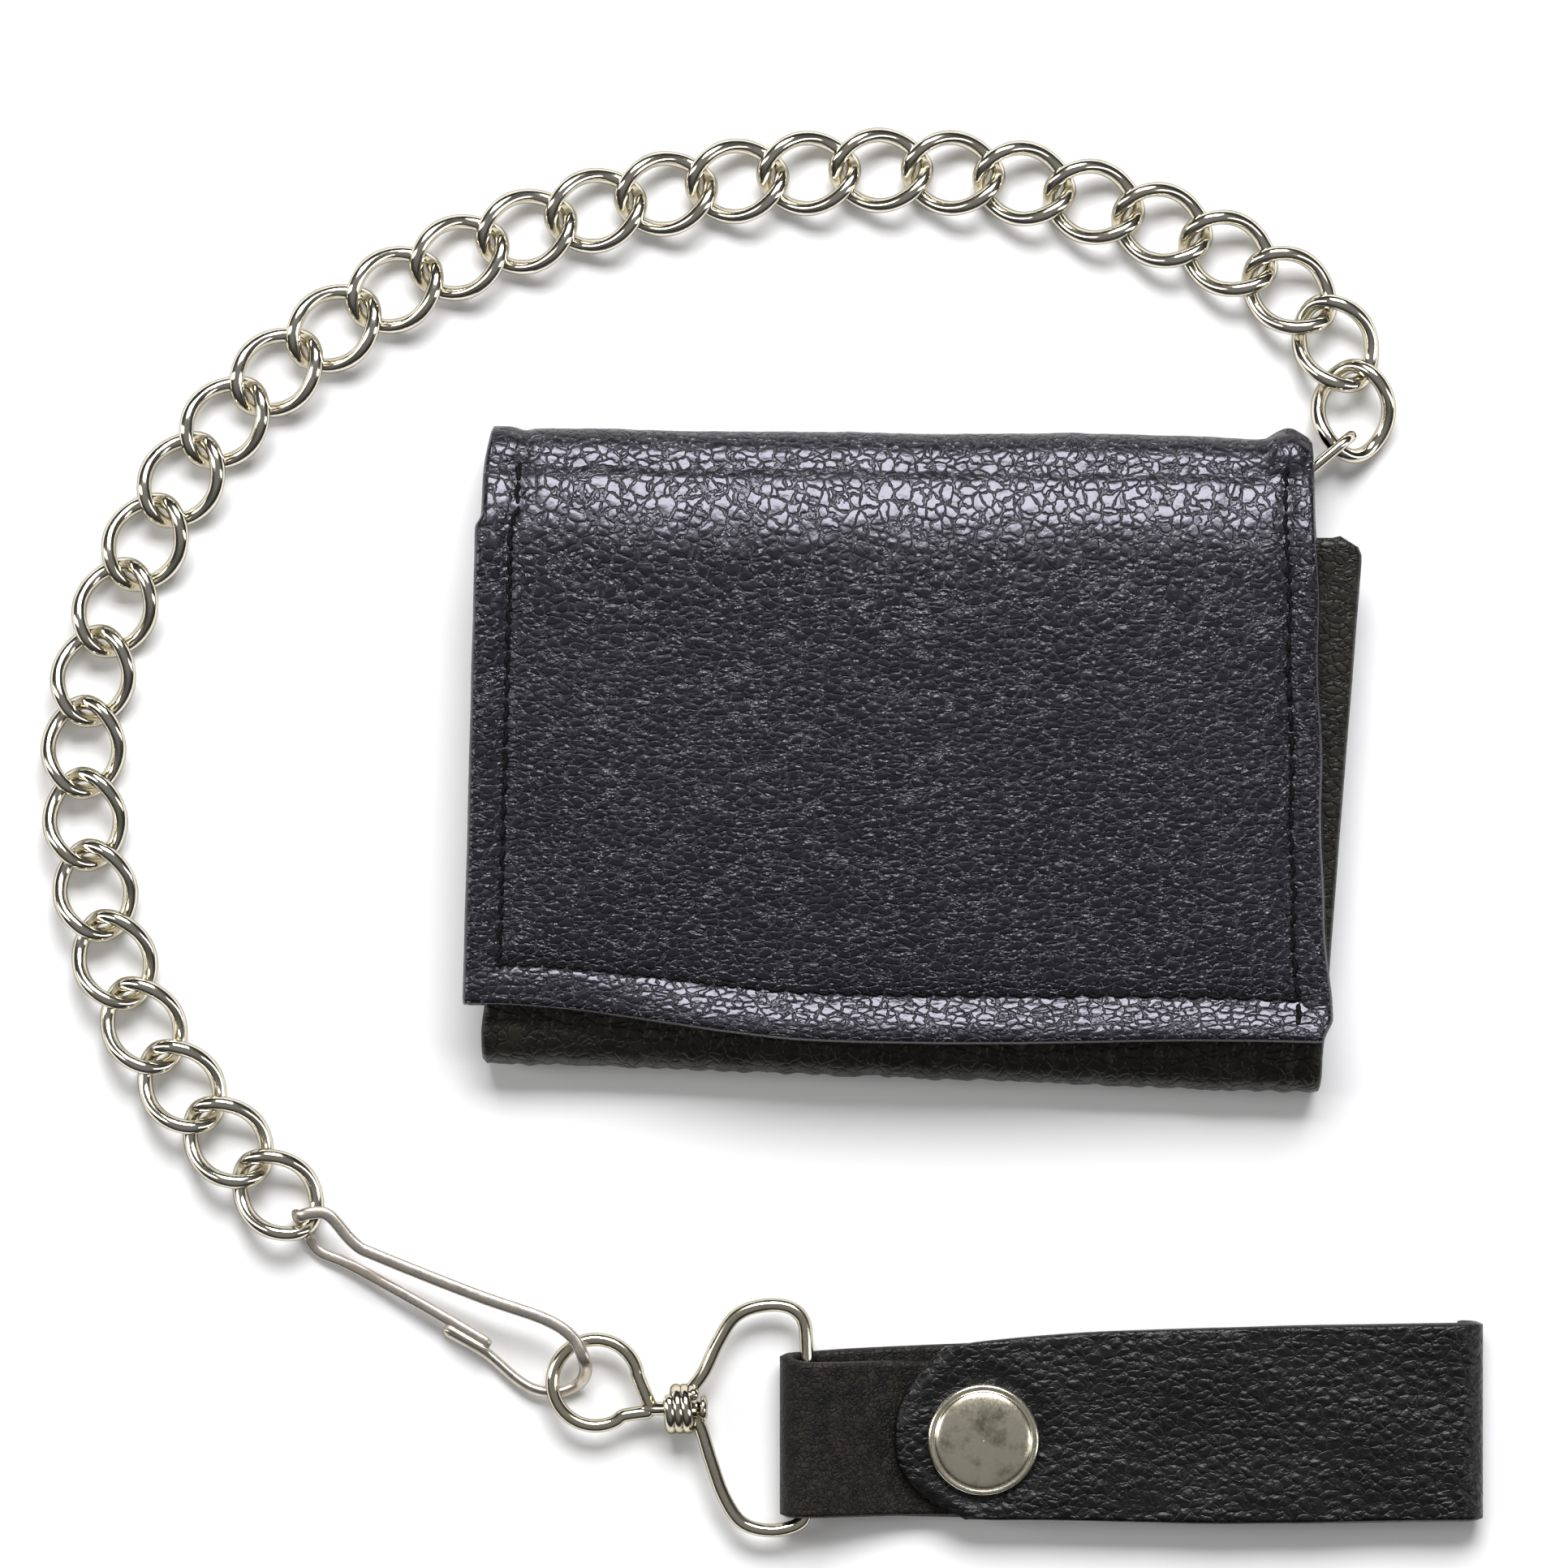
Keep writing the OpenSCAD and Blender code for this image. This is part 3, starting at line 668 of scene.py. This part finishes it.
def back_shell():
    """The leather from the middle of the back round the bottom fold to the inner panel's upper edge."""
    arc = math.pi * BOTTOM_R
    inner_len = inner_high[1] - BOTTOM[1]
    half_back = BACK_SHELL_END - BOTTOM[1]
    s = rows_between((-inner_len, -16, 1.0), (-16, 0, 0.6), (0, arc, 0.5), (arc, arc + half_back, 1.6))
    across = np.linspace(0, 1, 200)
    corner = 2.6
    t = np.clip((s + inner_len) / corner, 0, 1)
    round_off = corner * (1 - np.sqrt(1 - (1 - t) ** 2))
    left, right = inner_sides(s)
    left = left + round_off
    right = right - round_off - 0.4 * soft(s - arc / 2, arc)
    grid_x = left[:, None] + (right - left)[:, None] * across
    grid_s = np.repeat(s[:, None], len(across), 1)
    verts, faces, border = slab(back_surface(grid_x, grid_s), LEATHER_T)
    uv = slab_uv(grain_uv(grid_x, grid_s, tight=1.1, loose=2.0, centre=6, reach=8), border)
    blend = bend("inner", 0, BOTTOM[1], LEATHER_T, 2 * BOTTOM_R - 1.6 * LEATHER_T)
    shell = piece("back_shell", verts, faces, FOLD_SKIN, "wallet", "wallet_leather",
                  ("back_outer", "bottom_fold", "inner_outer"), uv, blend=blend)


def stitch(a, b, up, radius):
    """One stitch from a to b. Its ends dive into the leather, each in its own dark needle hole."""
    sink = radius * 1.7
    steps = np.linspace(0, 1, 7)[:, None]
    line = a + (b - a) * steps
    line = line + up * (radius * 0.6 - sink * np.abs(2 * steps - 1) ** 4)
    along = unit(b - a)
    parts = [tube(line, oval(radius, radius, 8), up=up)]
    for end in (a, b):
        hole = end + along * np.array([[-1.0], [0.0], [1.0]]) * radius
        parts.append(tube(hole - up * radius * 0.4, oval(radius * 0.8, radius * 1.45, 8), up=up))
    return joined(parts)


def seam(name, points, ups, pitch, length, radius, body, slot, blend=None):
    """A row of stitches along a line of surface points, with the outward direction at each point."""
    walked = np.concatenate([[0], np.cumsum(np.linalg.norm(np.diff(points, axis=0), axis=1))])

    def at(distance, values):
        return np.array([np.interp(distance, walked, values[:, axis]) for axis in range(3)])

    parts = []
    for k in range(int((walked[-1] - length) / pitch) + 1):
        start = k * pitch
        up = unit(at(start + length / 2, ups))
        parts.append(stitch(at(start, points), at(start + length, points), up, radius))
    verts, faces = joined(parts)
    piece(name, verts, faces, THREAD, body, slot, blend=blend)


def surface_seam(name, x, s, blend):
    """A seam along the points (x, s) of the flap's outer face."""
    points = flap_surface(x, s)
    step = 0.05
    across = flap_surface(x + step, s, False) - points
    down = flap_surface(x, s - step, False) - points
    ups = unit(np.cross(across, down))
    ups *= np.sign((ups * stack_point(x, s, TOP, TOP_R, 1)[1]).sum(1, keepdims=True))
    lift = 0.06
    seam(name, points + ups * lift, ups, pitch=3.1, length=1.5, radius=0.27, body="wallet",
         slot="wallet_leather", blend=blend)


def flap_seams(blend):
    """The flap's left, right and bottom seams."""
    low_left = -bottom_seam(left_seam(np.array([-62.0])))[0]
    low_right = -bottom_seam(right_seam(np.array([-66.0])))[0]
    s = np.linspace(low_left, 3.0, 200)
    surface_seam("left_seam_thread", left_seam(s), s, blend)
    s = np.linspace(low_right - 2.5, 5.0, 200)
    surface_seam("right_seam_thread", right_seam(s), s, blend)
    x = np.linspace(left_seam(np.array([low_left]))[0], right_seam(np.array([low_right]))[0], 300)
    surface_seam("bottom_seam_thread", x, -bottom_seam(x), blend)


def lining_sheet(node, body, wave, scoop=0.0, lean_left=0.0, lean_right=0.0, low_edge=None, sag=None,
                 trim=0.0, slot="lining_leather", material=LINING):
    """A lining or pocket layer in its CAD node's own box.

    wave is the height of its unevenness and scoop the depth of the thumb cut in its upper edge. The leans
    are how far its sides slope along X. low_edge gives its lower edge's y at x where that isn't straight,
    sag is how far it sinks at y, and trim is taken off its upper edge.
    """
    low, high = box(node)
    high[1] -= trim
    thickness = high[2] - low[2]
    uu, vv = np.meshgrid(np.linspace(0, 1, 90), np.linspace(0, 1, 70), indexing="ij")
    left = low[0] + lean_left * vv
    right = high[0] + (lean_right * (vv - 1) if lean_right > 0 else lean_right * vv)
    x = left + (right - left) * uu
    middle = (low[0] + high[0]) / 2
    upper = high[1] - scoop * np.exp(-((x - middle) / 9) ** 4)
    lower = low_edge(x) if low_edge else low[1] + 0 * x
    y = lower + (upper - lower) * vv
    uneven = (waves(x, y, 17, high[2]) - 1) * soft(np.minimum(uu, 1 - uu), 0.1) * soft(vv, 0.2)
    z = high[2] + wave * 0.5 * uneven
    if sag:
        z = z - sag(y)
    verts, faces, border = slab(np.stack([x, y, z], -1), thickness * 0.92, 0.12)
    uv = slab_uv(np.stack([x / 0.9, y / 0.9], -1), border)
    piece(node + "_sheet", verts, faces, material, body, slot, (node,), uv)


def lining_seam(node, body, inset, face, sides):
    """Stitches near the edges of a lining layer. face is 1 for its upper face and -1 for its lower one."""
    low, high = box(node)
    z = high[2] if face > 0 else low[2]
    x0, x1, y0, y1 = low[0] + inset, high[0] - inset, low[1] + inset, high[1] - inset
    runs = {"left": [(x0, y1), (x0, y0)], "bottom": [(x0, y0), (x1, y0)], "right": [(x1, y0), (x1, y1)]}
    for side in sides:
        points = np.array([(x, y, z) for x, y in runs[side]], float)
        ups = np.array([[0, 0, face], [0, 0, face]], float)
        seam(f"{node}_{side}_thread", points, ups, pitch=2.75, length=2.0, radius=0.18, body=body,
             slot="lining_leather")


def linings():
    """The layers inside the wallet, from the divider to the card window, and the seams on them."""
    lining_sheet("bill_divider", "wallet", 0.05)
    lining_sheet("back_pocket", "wallet", 0.05)
    lining_sheet("flap_lining", "flap", 0.05, lean_left=2.6, lean_right=-2.4, trim=3.0,
                 low_edge=lambda x: TOP[1] - flap_edge(x) + 1.3, sag=lambda y: fold_drop(y - TOP[1]))
    lining_sheet("flap_pocket", "flap", 0.06, scoop=5)
    lining_sheet("inner_pocket", "inner", 0.05, lean_left=5, lean_right=6.2)
    lining_sheet("inner_window", "inner", 0.04, slot="clear_window", material=VINYL)
    lining_seam("flap_pocket", "flap", inset=2.2, face=-1, sides=("left", "bottom", "right"))
    lining_seam("back_pocket", "wallet", inset=2.4, face=1, sides=("left", "right"))


def turned(name, profile, centre, body, node, count=72):
    """A nickel piece turned about an upright axis."""
    piece(name, *lathe(profile, centre, count=count), SNAP_METAL, body, "snap_nickel", (node,))


def eyelet_parts():
    """The eyelet's flanged tube, and the washer that its other end is spread over."""
    low, high = box("eyelet")
    centre = [(low[0] + high[0]) / 2, (low[1] + high[1]) / 2, 0]
    flange, hole, tube_r, t = (high[0] - low[0]) / 2, 2.6, 3.0, 0.3
    z0, z1 = low[2], high[2]
    rim = [(hole, z0), (tube_r, z0), (tube_r, z1 - t)]
    rim += arc_points(flange - t / 2, z1 - t / 2, t / 2, t / 2, -math.pi / 2, math.pi / 2, 7)
    rim += arc_points(hole + 0.5, z1 - 0.1, 0.5, 0.1, math.pi / 2, math.pi, 5)
    turned("eyelet_rim", rim, centre, "wallet", "eyelet")
    low, high = box("eyelet_washer")
    z0, z1 = low[2], high[2] - 0.02
    washer = [(hole, z0 + 0.08), (hole + 0.3, z0), (flange - 0.3, z0), (flange, z0 + 0.1), (flange, z1),
              (hole, z1)]
    turned("eyelet_back_washer", washer, centre, "wallet", "eyelet_washer")


# ---------------- chain

LINK_WIRE = 1.9
LINK_W = 10.9
LINK_TWIST = math.radians(36)
LINK_SLACK = 0.4


def chain_links():
    """Twisted links. Each one's middle is its node's, and it points from there to the next link's pivot."""
    names = [f"link_{i:02d}" for i in range(1, LINK_COUNT + 1)]
    pivots = [JOINT["turn_" + name] for name in names]
    middles = [(box(name)[0] + box(name)[1]) / 2 for name in names]
    pitch = np.mean([np.linalg.norm(b - a) for a, b in zip(pivots[1:], pivots[2:])])
    half_l = (pitch + LINK_WIRE + LINK_SLACK) / 2
    half_w = (LINK_W - LINK_WIRE) / 2
    a = np.linspace(0, 2 * math.pi, 56, endpoint=False)
    side, twist = half_w * np.sin(a), -LINK_TWIST * np.cos(a)
    line = np.stack([half_l * np.cos(a), side * np.cos(twist), side * np.sin(twist)], 1)
    for i, name in enumerate(names):
        along = unit(pivots[i + 1] - middles[i] if i + 1 < LINK_COUNT else middles[i] - pivots[i])
        turn = np.array([[along[0], -along[1], 0], [along[1], along[0], 0], [0, 0, 1]])
        verts, faces = tube(line, oval(LINK_WIRE / 2, LINK_WIRE / 2, 16), closed=True, side=unit(line))
        verts = verts @ turn.T + middles[i]
        piece("chain_" + name, verts, faces, CHAIN_METAL, name, "chain_nickel", (name,))


def tie_ring():
    """The flat ring that stands on edge through the eyelet and holds the first link."""
    low, high = box("ring_link")
    wire = 1.4
    start = JOINT["ring_turn"]
    half_h = (high[2] - low[2] - wire) / 2
    far = JOINT["turn_link_01"] * [1, 1, 0] + start * [0, 0, 1]
    along = unit((far - start) * [1, 1, 0])
    length = np.linalg.norm((far - start)[:2]) + 2.3
    outer_end = arc_points(length - half_h, 0, half_h, half_h, -math.pi / 2, math.pi / 2, 12)
    inner_end = arc_points(half_h, 0, -half_h, -half_h, -math.pi / 2, math.pi / 2, 12)
    line = np.array([start + along * u + np.array([0, 0, w]) for u, w in outer_end + inner_end])
    across = np.repeat(np.cross(along, [0, 0, 1])[None], len(line), 0)
    verts, faces = tube(line, oval(wire / 2, wire / 2, 14), closed=True, side=across)
    piece("tie_ring_wire", verts, faces, CHAIN_METAL, "tie_ring", "chain_nickel", ("ring_link",))


# ---------------- hook and swivel

def hook_wire():
    """The hook's flattened spring wire, as offsets from where it holds the chain."""
    offsets = [(1.0, -1.9, -2.0), (0.3, -0.6, -1.8), (0, 0, 0), (0.6, 0, 1.55), (2.0, 0.4, 1.95),
               (4.3, 0.1, 1.95), (7.6, -3.5, 1.95), (10.7, -5.1, 1.95), (23.1, -10, 2.2), (31.7, -13, 2.4),
               (35.2, -15.3, 2.4), (36.6, -17.9, 2.4), (36.8, -19.9, 0.6), (35.8, -21.6, -1.25),
               (33.3, -22.6, -1.25), (30.4, -22.3, -1.25), (27.9, -20.9, -1.5), (24.1, -17.7, -1.7),
               (19.4, -15, -1.7)]
    line = spline(JOINT["hook_turn"] + np.array(offsets), 8)
    verts, faces = tube(line, oval(0.55, 0.8, 16, 0.7), start=0.4)
    piece("hook_wire", verts, faces, HOOK_METAL, "hook", "hook_nickel", ("hook_frame",))


def hook_gate():
    """The hook's sprung arm, with the flat lip that catches the wire's tip."""
    pivot = JOINT["gate_spring"]
    arm = [(0.3, -0.6, 0), (1.7, -2.3, 0), (5.7, -4.0, 0.5), (14.6, -8.8, 1.5), (22.8, -13.6, 1.95)]
    lip = [(18.4, -11.9, 1.7), (20.8, -13.3, 1.85), (22.8, -14.4, 1.95)]
    arm_wire = tube(spline(pivot + np.array(arm), 10), oval(0.5, 0.72, 16, 0.7), start=0.6)
    lip_plate = tube(spline(pivot + np.array(lip), 5), oval(0.8, 0.22, 12, 0.7))
    verts, faces = joined([arm_wire, lip_plate])
    piece("hook_gate_wire", verts, faces, HOOK_METAL, "gate", "hook_nickel", ("hook_gate",))


def swivel_eye():
    """The swivel's open wire eye, whose two ends meet the stem. The stem's x is given back."""
    axis = JOINT["swivel_spin"]
    low, high = box("swivel_eye")
    wire = high[2] - low[2]
    middle = (low + high) / 2
    r = (high[0] - low[0] - wire) / 2
    mouth = math.radians(28)
    tilt = math.atan2(axis[1] - middle[1], r + 3)
    stem_x = middle[0] + r + 0.9
    points = [(stem_x + 0.5, axis[1] + 0.5)]
    points += arc_points(middle[0], middle[1], r, r, mouth + tilt, 2 * math.pi - mouth + tilt, 30)
    points += [(stem_x + 0.2, axis[1] - 0.45)]
    line = spline([(x, y, middle[2]) for x, y in points], 3)
    verts, faces = tube(line, oval(wire / 2, wire / 2, 16))
    piece("swivel_eye_wire", verts, faces, SWIVEL_METAL, "eye", "swivel_nickel", ("swivel_eye",))
    return stem_x


def swivel_stem(stem_x):
    """The pin that the barrel turns on, with its round head."""
    axis = JOINT["swivel_spin"]
    low, high = box("swivel_pin")
    stem, head = 0.85, (high[2] - low[2]) / 2
    x0, x1 = stem_x - 0.6, high[0]
    profile = [(0.01, x0), (stem * 0.8, x0), (stem, x0 + 0.4), (stem, x1 - 0.9), (head * 0.9, x1 - 0.85),
               (head, x1 - 0.6), (head * 0.95, x1 - 0.25), (head * 0.6, x1), (0.01, x1)]
    verts, faces = lathe(profile, (0, axis[1], axis[2]), "x", 40)
    piece("swivel_stem", verts, faces, SWIVEL_METAL, "eye", "swivel_nickel", ("swivel_pin",))


def swivel_coil():
    """The barrel: three turns of wire round a thin sleeve."""
    axis = JOINT["swivel_spin"]
    low, high = box("swivel_barrel")
    turns = 3
    wire = (high[0] - low[0]) / turns
    coil_r = (high[2] - low[2]) / 2 - wire / 2
    a = np.linspace(0.35 * math.pi, 2 * math.pi * turns + 0.2 * math.pi, 150)
    x = np.linspace(low[0] + wire / 2, high[0] - wire / 2, len(a))
    helix = np.stack([x, axis[1] + coil_r * np.cos(a), axis[2] + coil_r * np.sin(a)], 1)
    coil = tube(helix, oval(wire / 2 * 1.02, wire / 2, 14), up=(1, 0, 0))
    bore, wall, x0, x1 = 0.97, 1.5, low[0] + 0.3, high[0] - 0.3
    sleeve = lathe([(bore, x0), (wall, x0), (wall, x1), (bore, x1)], (0, axis[1], axis[2]), "x", 32)
    piece("swivel_coil", *joined([coil, sleeve]), SWIVEL_METAL, "loop", "swivel_nickel", ("swivel_barrel",))


def strap_ring():
    """The strap's wire ring, as offsets from the strap's joint on its straight bar."""
    bar = JOINT["strap_swing"]
    offsets = [(-15.6, 4.6), (-13.2, 7.6), (-11.4, 11.4), (-9.2, 14.8), (-6.1, 16.2), (-2.6, 16.2),
               (-0.5, 14.6), (0, 11.2), (0, 4), (0, -4), (0, -9.4), (-1.1, -11.5), (-4.6, -12.3),
               (-8.2, -11.3), (-10.5, -8), (-12.2, -3.3), (-13.4, 0.6), (-14.4, 2.4)]
    line = spline([(bar[0] + u, bar[1] + v, bar[2]) for u, v in offsets], 8)
    verts, faces = tube(line, oval(0.85, 0.85, 16))
    piece("strap_ring_wire", verts, faces, SWIVEL_METAL, "loop", "swivel_nickel", ("d_ring",))


# ---------------- strap and snap

STRAP_T = 1.6
CLOSED_END = JOINT["strap_snap"]
strap_low, strap_high = box("strap_flap")


def strap_lower():
    """The strap's lower layer, which goes round the ring's bar and comes back under the flap."""
    bar = JOINT["strap_swing"]
    low, high = box("strap_base")
    neck_low, neck_high = box("strap_return")
    r = bar[2]
    arc = math.pi * r
    base_len, back_len = CLOSED_END[0] - bar[0], neck_high[0] - bar[0]
    s = rows_between((-base_len, 0, 0.9), (0, arc, 0.45), (arc, arc + back_len, 0.8))
    across = np.linspace(0, 1, 52)
    on_base = s < 0
    returning = s > arc
    a = np.clip(s, 0, arc) / r
    run = s - arc
    x = np.where(on_base, bar[0] - s, np.where(returning, bar[0] + run, bar[0] - r * np.sin(a)))
    top = 2 * r - (2 * r - neck_low[2] - 2 * STRAP_T - 0.1) * soft(run + 1.0, 15.5)
    z = np.where(on_base, GROUND, np.where(returning, top, r - r * np.cos(a)))

    # the base widens from the neck's width to its own
    flare = np.where(on_base, soft(x - bar[0], 26), 0)
    wide = np.where(on_base, np.clip((x - bar[0]) / base_len, 0, 1) ** 0.7, 0)
    tuck = 0.9 * soft(s - arc * 0.4, arc * 0.7)
    y_low = neck_low[1] + 0.35 + (low[1] + 0.5 - neck_low[1]) * flare
    y_high = neck_high[1] - 0.25 + (high[1] - 0.7 - neck_high[1]) * wide - tuck
    xx = np.repeat(x[:, None], len(across), 1)
    yy = y_low[:, None] + (y_high - y_low)[:, None] * across
    zz = np.repeat(z[:, None], len(across), 1)
    ss = np.repeat(s[:, None], len(across), 1)
    lift = 0.12 * waves(xx, yy, 7, 5.2) * soft(ss - 2, 5)
    verts, faces, border = slab(np.stack([xx, yy, zz + lift], -1), STRAP_T, 0.22)
    uv = slab_uv(np.stack([yy / 0.8, ss / 0.8], -1), border)
    lower = piece("strap_lower", verts, faces, NECK_SKIN, "strap", "strap_leather",
                  ("strap_base", "strap_return"), uv)


def strap_upper():
    """The strap's flap, from its rounded end and round the closed end of the loop.

    u runs from 0 to 1 along the flap. From 1 on, it grows by the distance walked round the closed end.
    """
    snap = (box("snap_post")[0] + box("snap_post")[1]) / 2
    end_r = CLOSED_END[2]
    end_arc = math.pi * end_r
    along = np.concatenate([np.linspace(0, 1, 130), 1 + rows_between((0, end_arc, 0.4))[1:]])
    v = np.linspace(0, 1, 56)
    grid = np.empty((len(along), len(v), 3))
    uv = np.empty((len(along), len(v), 2))
    tip = strap_low[0] + np.where(v > 0.5, 6.2, 8.8) * np.abs(2 * v - 1) ** 2.6
    for k, u in enumerate(along):
        on_flap = u <= 1
        if on_flap:
            x = tip + (CLOSED_END[0] - tip) * u
            z = strap_high[2] + 0 * x
            walked = x
        else:
            angle = (u - 1) / end_r
            x = CLOSED_END[0] + end_r * math.sin(angle) + 0 * v
            z = end_r + end_r * math.cos(angle) + 0 * v
            walked = CLOSED_END[0] + (u - 1) + 0 * v
        far = np.clip((CLOSED_END[0] - x) / (CLOSED_END[0] - strap_low[0]), 0, 1)
        y0 = strap_low[1] + 0.55 + 0.2 * np.sin(x / 9)
        y1 = strap_high[1] + 0.1 - 1.1 * far - 2.9 * far ** 5
        y = y0 + (y1 - y0) * v
        if on_flap:
            d = np.hypot(x - snap[0], y - snap[1])
            z = z - 0.35 * hump(d - 7.4, 1.6) + 0.25 * hump(x - 44, 20) - 0.45 * hump(x - tip, 1.3)
            z = z + 0.22 * waves(x, y, 10, 2.7)
        grid[k] = np.stack([x, y, np.maximum(z, GROUND)], -1)
        uv[k] = np.stack([walked / 1.6, y / 1.25], -1)
    verts, faces, border = slab(grid, STRAP_T, 0.22)
    blend = bend("strap_flap", CLOSED_END[0], 0, STRAP_T, strap_low[2] - 1.2)
    upper = piece("strap_upper", verts, faces, STRAP_SKIN, "strap", "strap_leather",
                  ("strap_flap", "strap_end_fold"), slab_uv(uv, border), blend=blend)


def snap_cap():
    """The snap's cap: a low dome inside a rolled rim, and the shank through the flap. Returns its middle."""
    low, high = box("snap_cap")
    centre = ((low[0] + high[0]) / 2, (low[1] + high[1]) / 2, 0)
    r = (high[0] - low[0]) / 2
    leather_z = strap_high[2]
    top = high[2]
    shank = 1.1
    brim = leather_z + 0.85
    cap = [(0.01, leather_z - STRAP_T), (shank, leather_z - STRAP_T), (shank, leather_z - 0.15),
           (r - 1.0, leather_z - 0.15), (r - 0.35, leather_z - 0.05)]
    cap += arc_points(r - 0.45, leather_z + 0.45, 0.45, 0.5, -math.pi / 2, math.pi * 0.62, 12)
    cap += [(r - 0.8, leather_z + 0.84)]
    cap += arc_points(0, brim, r - 0.95, top - leather_z - 0.85, 0.02, math.pi / 2 - 0.02, 14)
    cap += [(0.01, top)]
    turned("snap_cap_disc", cap, centre, "strap_flap", "snap_cap", 96)
    return centre


def snap_socket(centre):
    """The socket ring under the flap."""
    low, high = box("snap_socket")
    r, z0, z1 = (high[0] - low[0]) / 2, low[2], high[2]
    bore = 2.15
    socket = [(bore, z0 + 0.1), (bore + 0.15, z0), (2.9, z0 + 0.02), (3.1, z0 + 0.12), (r - 0.5, z0 + 0.12),
              (r - 0.1, z0 + 0.03), (r, z0 + 0.15), (r, z1), (bore, z1)]
    turned("snap_socket_ring", socket, centre, "strap_flap", "snap_socket")


def snap_stud(centre):
    """The stud on the strap's neck, with a ball on a narrow foot."""
    low, high = box("snap_stud")
    z0, z1 = low[2], high[2]
    stud = [(0.01, z0), (4.4, z0), (4.6, z0 + 0.05), (4.5, z0 + 0.1), (2.0, z0 + 0.1), (1.72, z0 + 0.2),
            (1.9, z1 - 0.2), (1.75, z1 - 0.06), (1.3, z1), (0.01, z1)]
    turned("snap_stud_ball", stud, centre, "strap", "snap_stud")


def snap_post(centre):
    """The rivet that holds the stud to the strap's two lower layers."""
    low, high = box("snap_post")
    r, z0, z1 = (high[0] - low[0]) / 2, low[2], high[2]
    post = [(0.01, z0 + GROUND), (r - 0.1, z0 + GROUND), (r, z0 + 0.12), (r, z1), (0.01, z1)]
    turned("snap_post_rivet", post, centre, "strap", "snap_post", 36)


# ---------------- stage, light and camera

def studio_floor():
    """A white floor. It glows with the distance, so that it meets the pale background."""
    mesh = bpy.data.meshes.new("studio_floor")
    reach = 6.0
    corners = [(-reach, -reach, 0), (reach, -reach, 0), (reach, reach, 0), (-reach, reach, 0)]
    mesh.from_pydata(corners, [], [(0, 1, 2, 3)])
    floor = new_object("studio_floor", mesh)
    material, tree, surface = shader("studio_white")
    where = add(tree, "ShaderNodeTexCoord").outputs["Object"]
    cloud = noise_map(tree, where, 3.0)
    link(tree, mix(tree, cloud, (0.86, 0.86, 0.86, 1), (0.88, 0.88, 0.88, 1)), surface, "Base Color")
    away = add(tree, "ShaderNodeVectorMath", {0: where}, operation="LENGTH").outputs["Value"]
    link(tree, stretch(tree, away, 0.4, 2.2, 0.0, 0.8), surface, "Emission Strength")
    surface.inputs["Emission Color"].default_value = (1.0, 1.0, 1.0, 1)
    surface.inputs["Roughness"].default_value = 0.9
    surface.inputs["Specular IOR Level"].default_value = 0.1
    mesh.materials.append(material)


def studio_world():
    """A dim tent, brightest overhead. The background that the camera sees itself is pale."""
    world = bpy.data.worlds.new("studio_world")
    bpy.context.scene.world = world
    world.use_nodes = True
    tree = world.node_tree
    tree.nodes.clear()
    out = tree.nodes.new("ShaderNodeOutputWorld")
    direction = add(tree, "ShaderNodeTexCoord").outputs["Generated"]
    height = add(tree, "ShaderNodeSeparateXYZ", {0: direction}).outputs["Z"]
    glow = stretch(tree, height, 0.3, 0.95, 0.03, 0.22)
    tent = add(tree, "ShaderNodeBackground", {"Color": (1.0, 0.99, 1.0, 1), "Strength": glow})
    pale = add(tree, "ShaderNodeBackground", {"Color": (0.93, 0.93, 0.94, 1), "Strength": 1.0})
    seen = add(tree, "ShaderNodeLightPath").outputs["Is Camera Ray"]
    both = add(tree, "ShaderNodeMixShader", {0: seen, 1: tent.outputs[0], 2: pale.outputs[0]})
    tree.links.new(both.outputs[0], out.inputs[0])


def softbox(name, aim, place, size, power, colour=(1, 1, 1)):
    """A rectangular lamp pointed at aim, in metres and watts."""
    data = bpy.data.lights.new(name, "AREA")
    data.shape = "RECTANGLE"
    data.size, data.size_y = size
    data.energy = power
    data.color = colour
    obj = new_object(name, data)
    obj.location = place
    obj.rotation_euler = (aim - Vector(place)).to_track_quat("-Z", "Y").to_euler()


def studio():
    """The stage, and a strong light from behind the top fold with two weak ones at the sides."""
    low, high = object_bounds()
    aim = Vector(((low[0] + high[0]) / 2, (low[1] + high[1]) / 2, 0))
    studio_floor()
    studio_world()
    softbox("key_softbox", aim, (0.05, 0.93, 1.05), (1.0, 0.6), 30, (0.98, 0.98, 1.0))
    softbox("left_softbox", aim, (-0.95, 0.1, 0.6), (0.3, 0.9), 4, (1.0, 0.99, 0.97))
    softbox("right_softbox", aim, (1.0, -0.25, 0.55), (0.3, 0.9), 3)


def camera():
    """Straight down, with a small margin left of the chain and a larger one above it. In metres."""
    low, high = CAD_BOX
    view_width = 0.200
    distance = 0.9
    left_margin, top_margin = 0.0055, 0.0165
    data = bpy.data.cameras.new("camera")
    data.sensor_width = 36.0
    data.lens = data.sensor_width * distance / view_width
    data.clip_start = 0.02
    data.clip_end = 60
    obj = new_object("camera", data)
    middle = (low[0] - left_margin + view_width / 2, high[1] + top_margin - view_width / 2)
    obj.location = (*middle, distance)
    bpy.context.scene.camera = obj


camera()
flap_blend = flap_shell()
back_shell()
flap_seams(flap_blend)
linings()
eyelet_parts()
chain_links()
tie_ring()
hook_wire()
hook_gate()
swivel_stem(swivel_eye())
swivel_coil()
strap_ring()
strap_lower()
strap_upper()
snap_middle = snap_cap()
snap_socket(snap_middle)
snap_stud(snap_middle)
snap_post(snap_middle)
studio()
bpy.context.scene.view_settings.view_transform = "Standard"
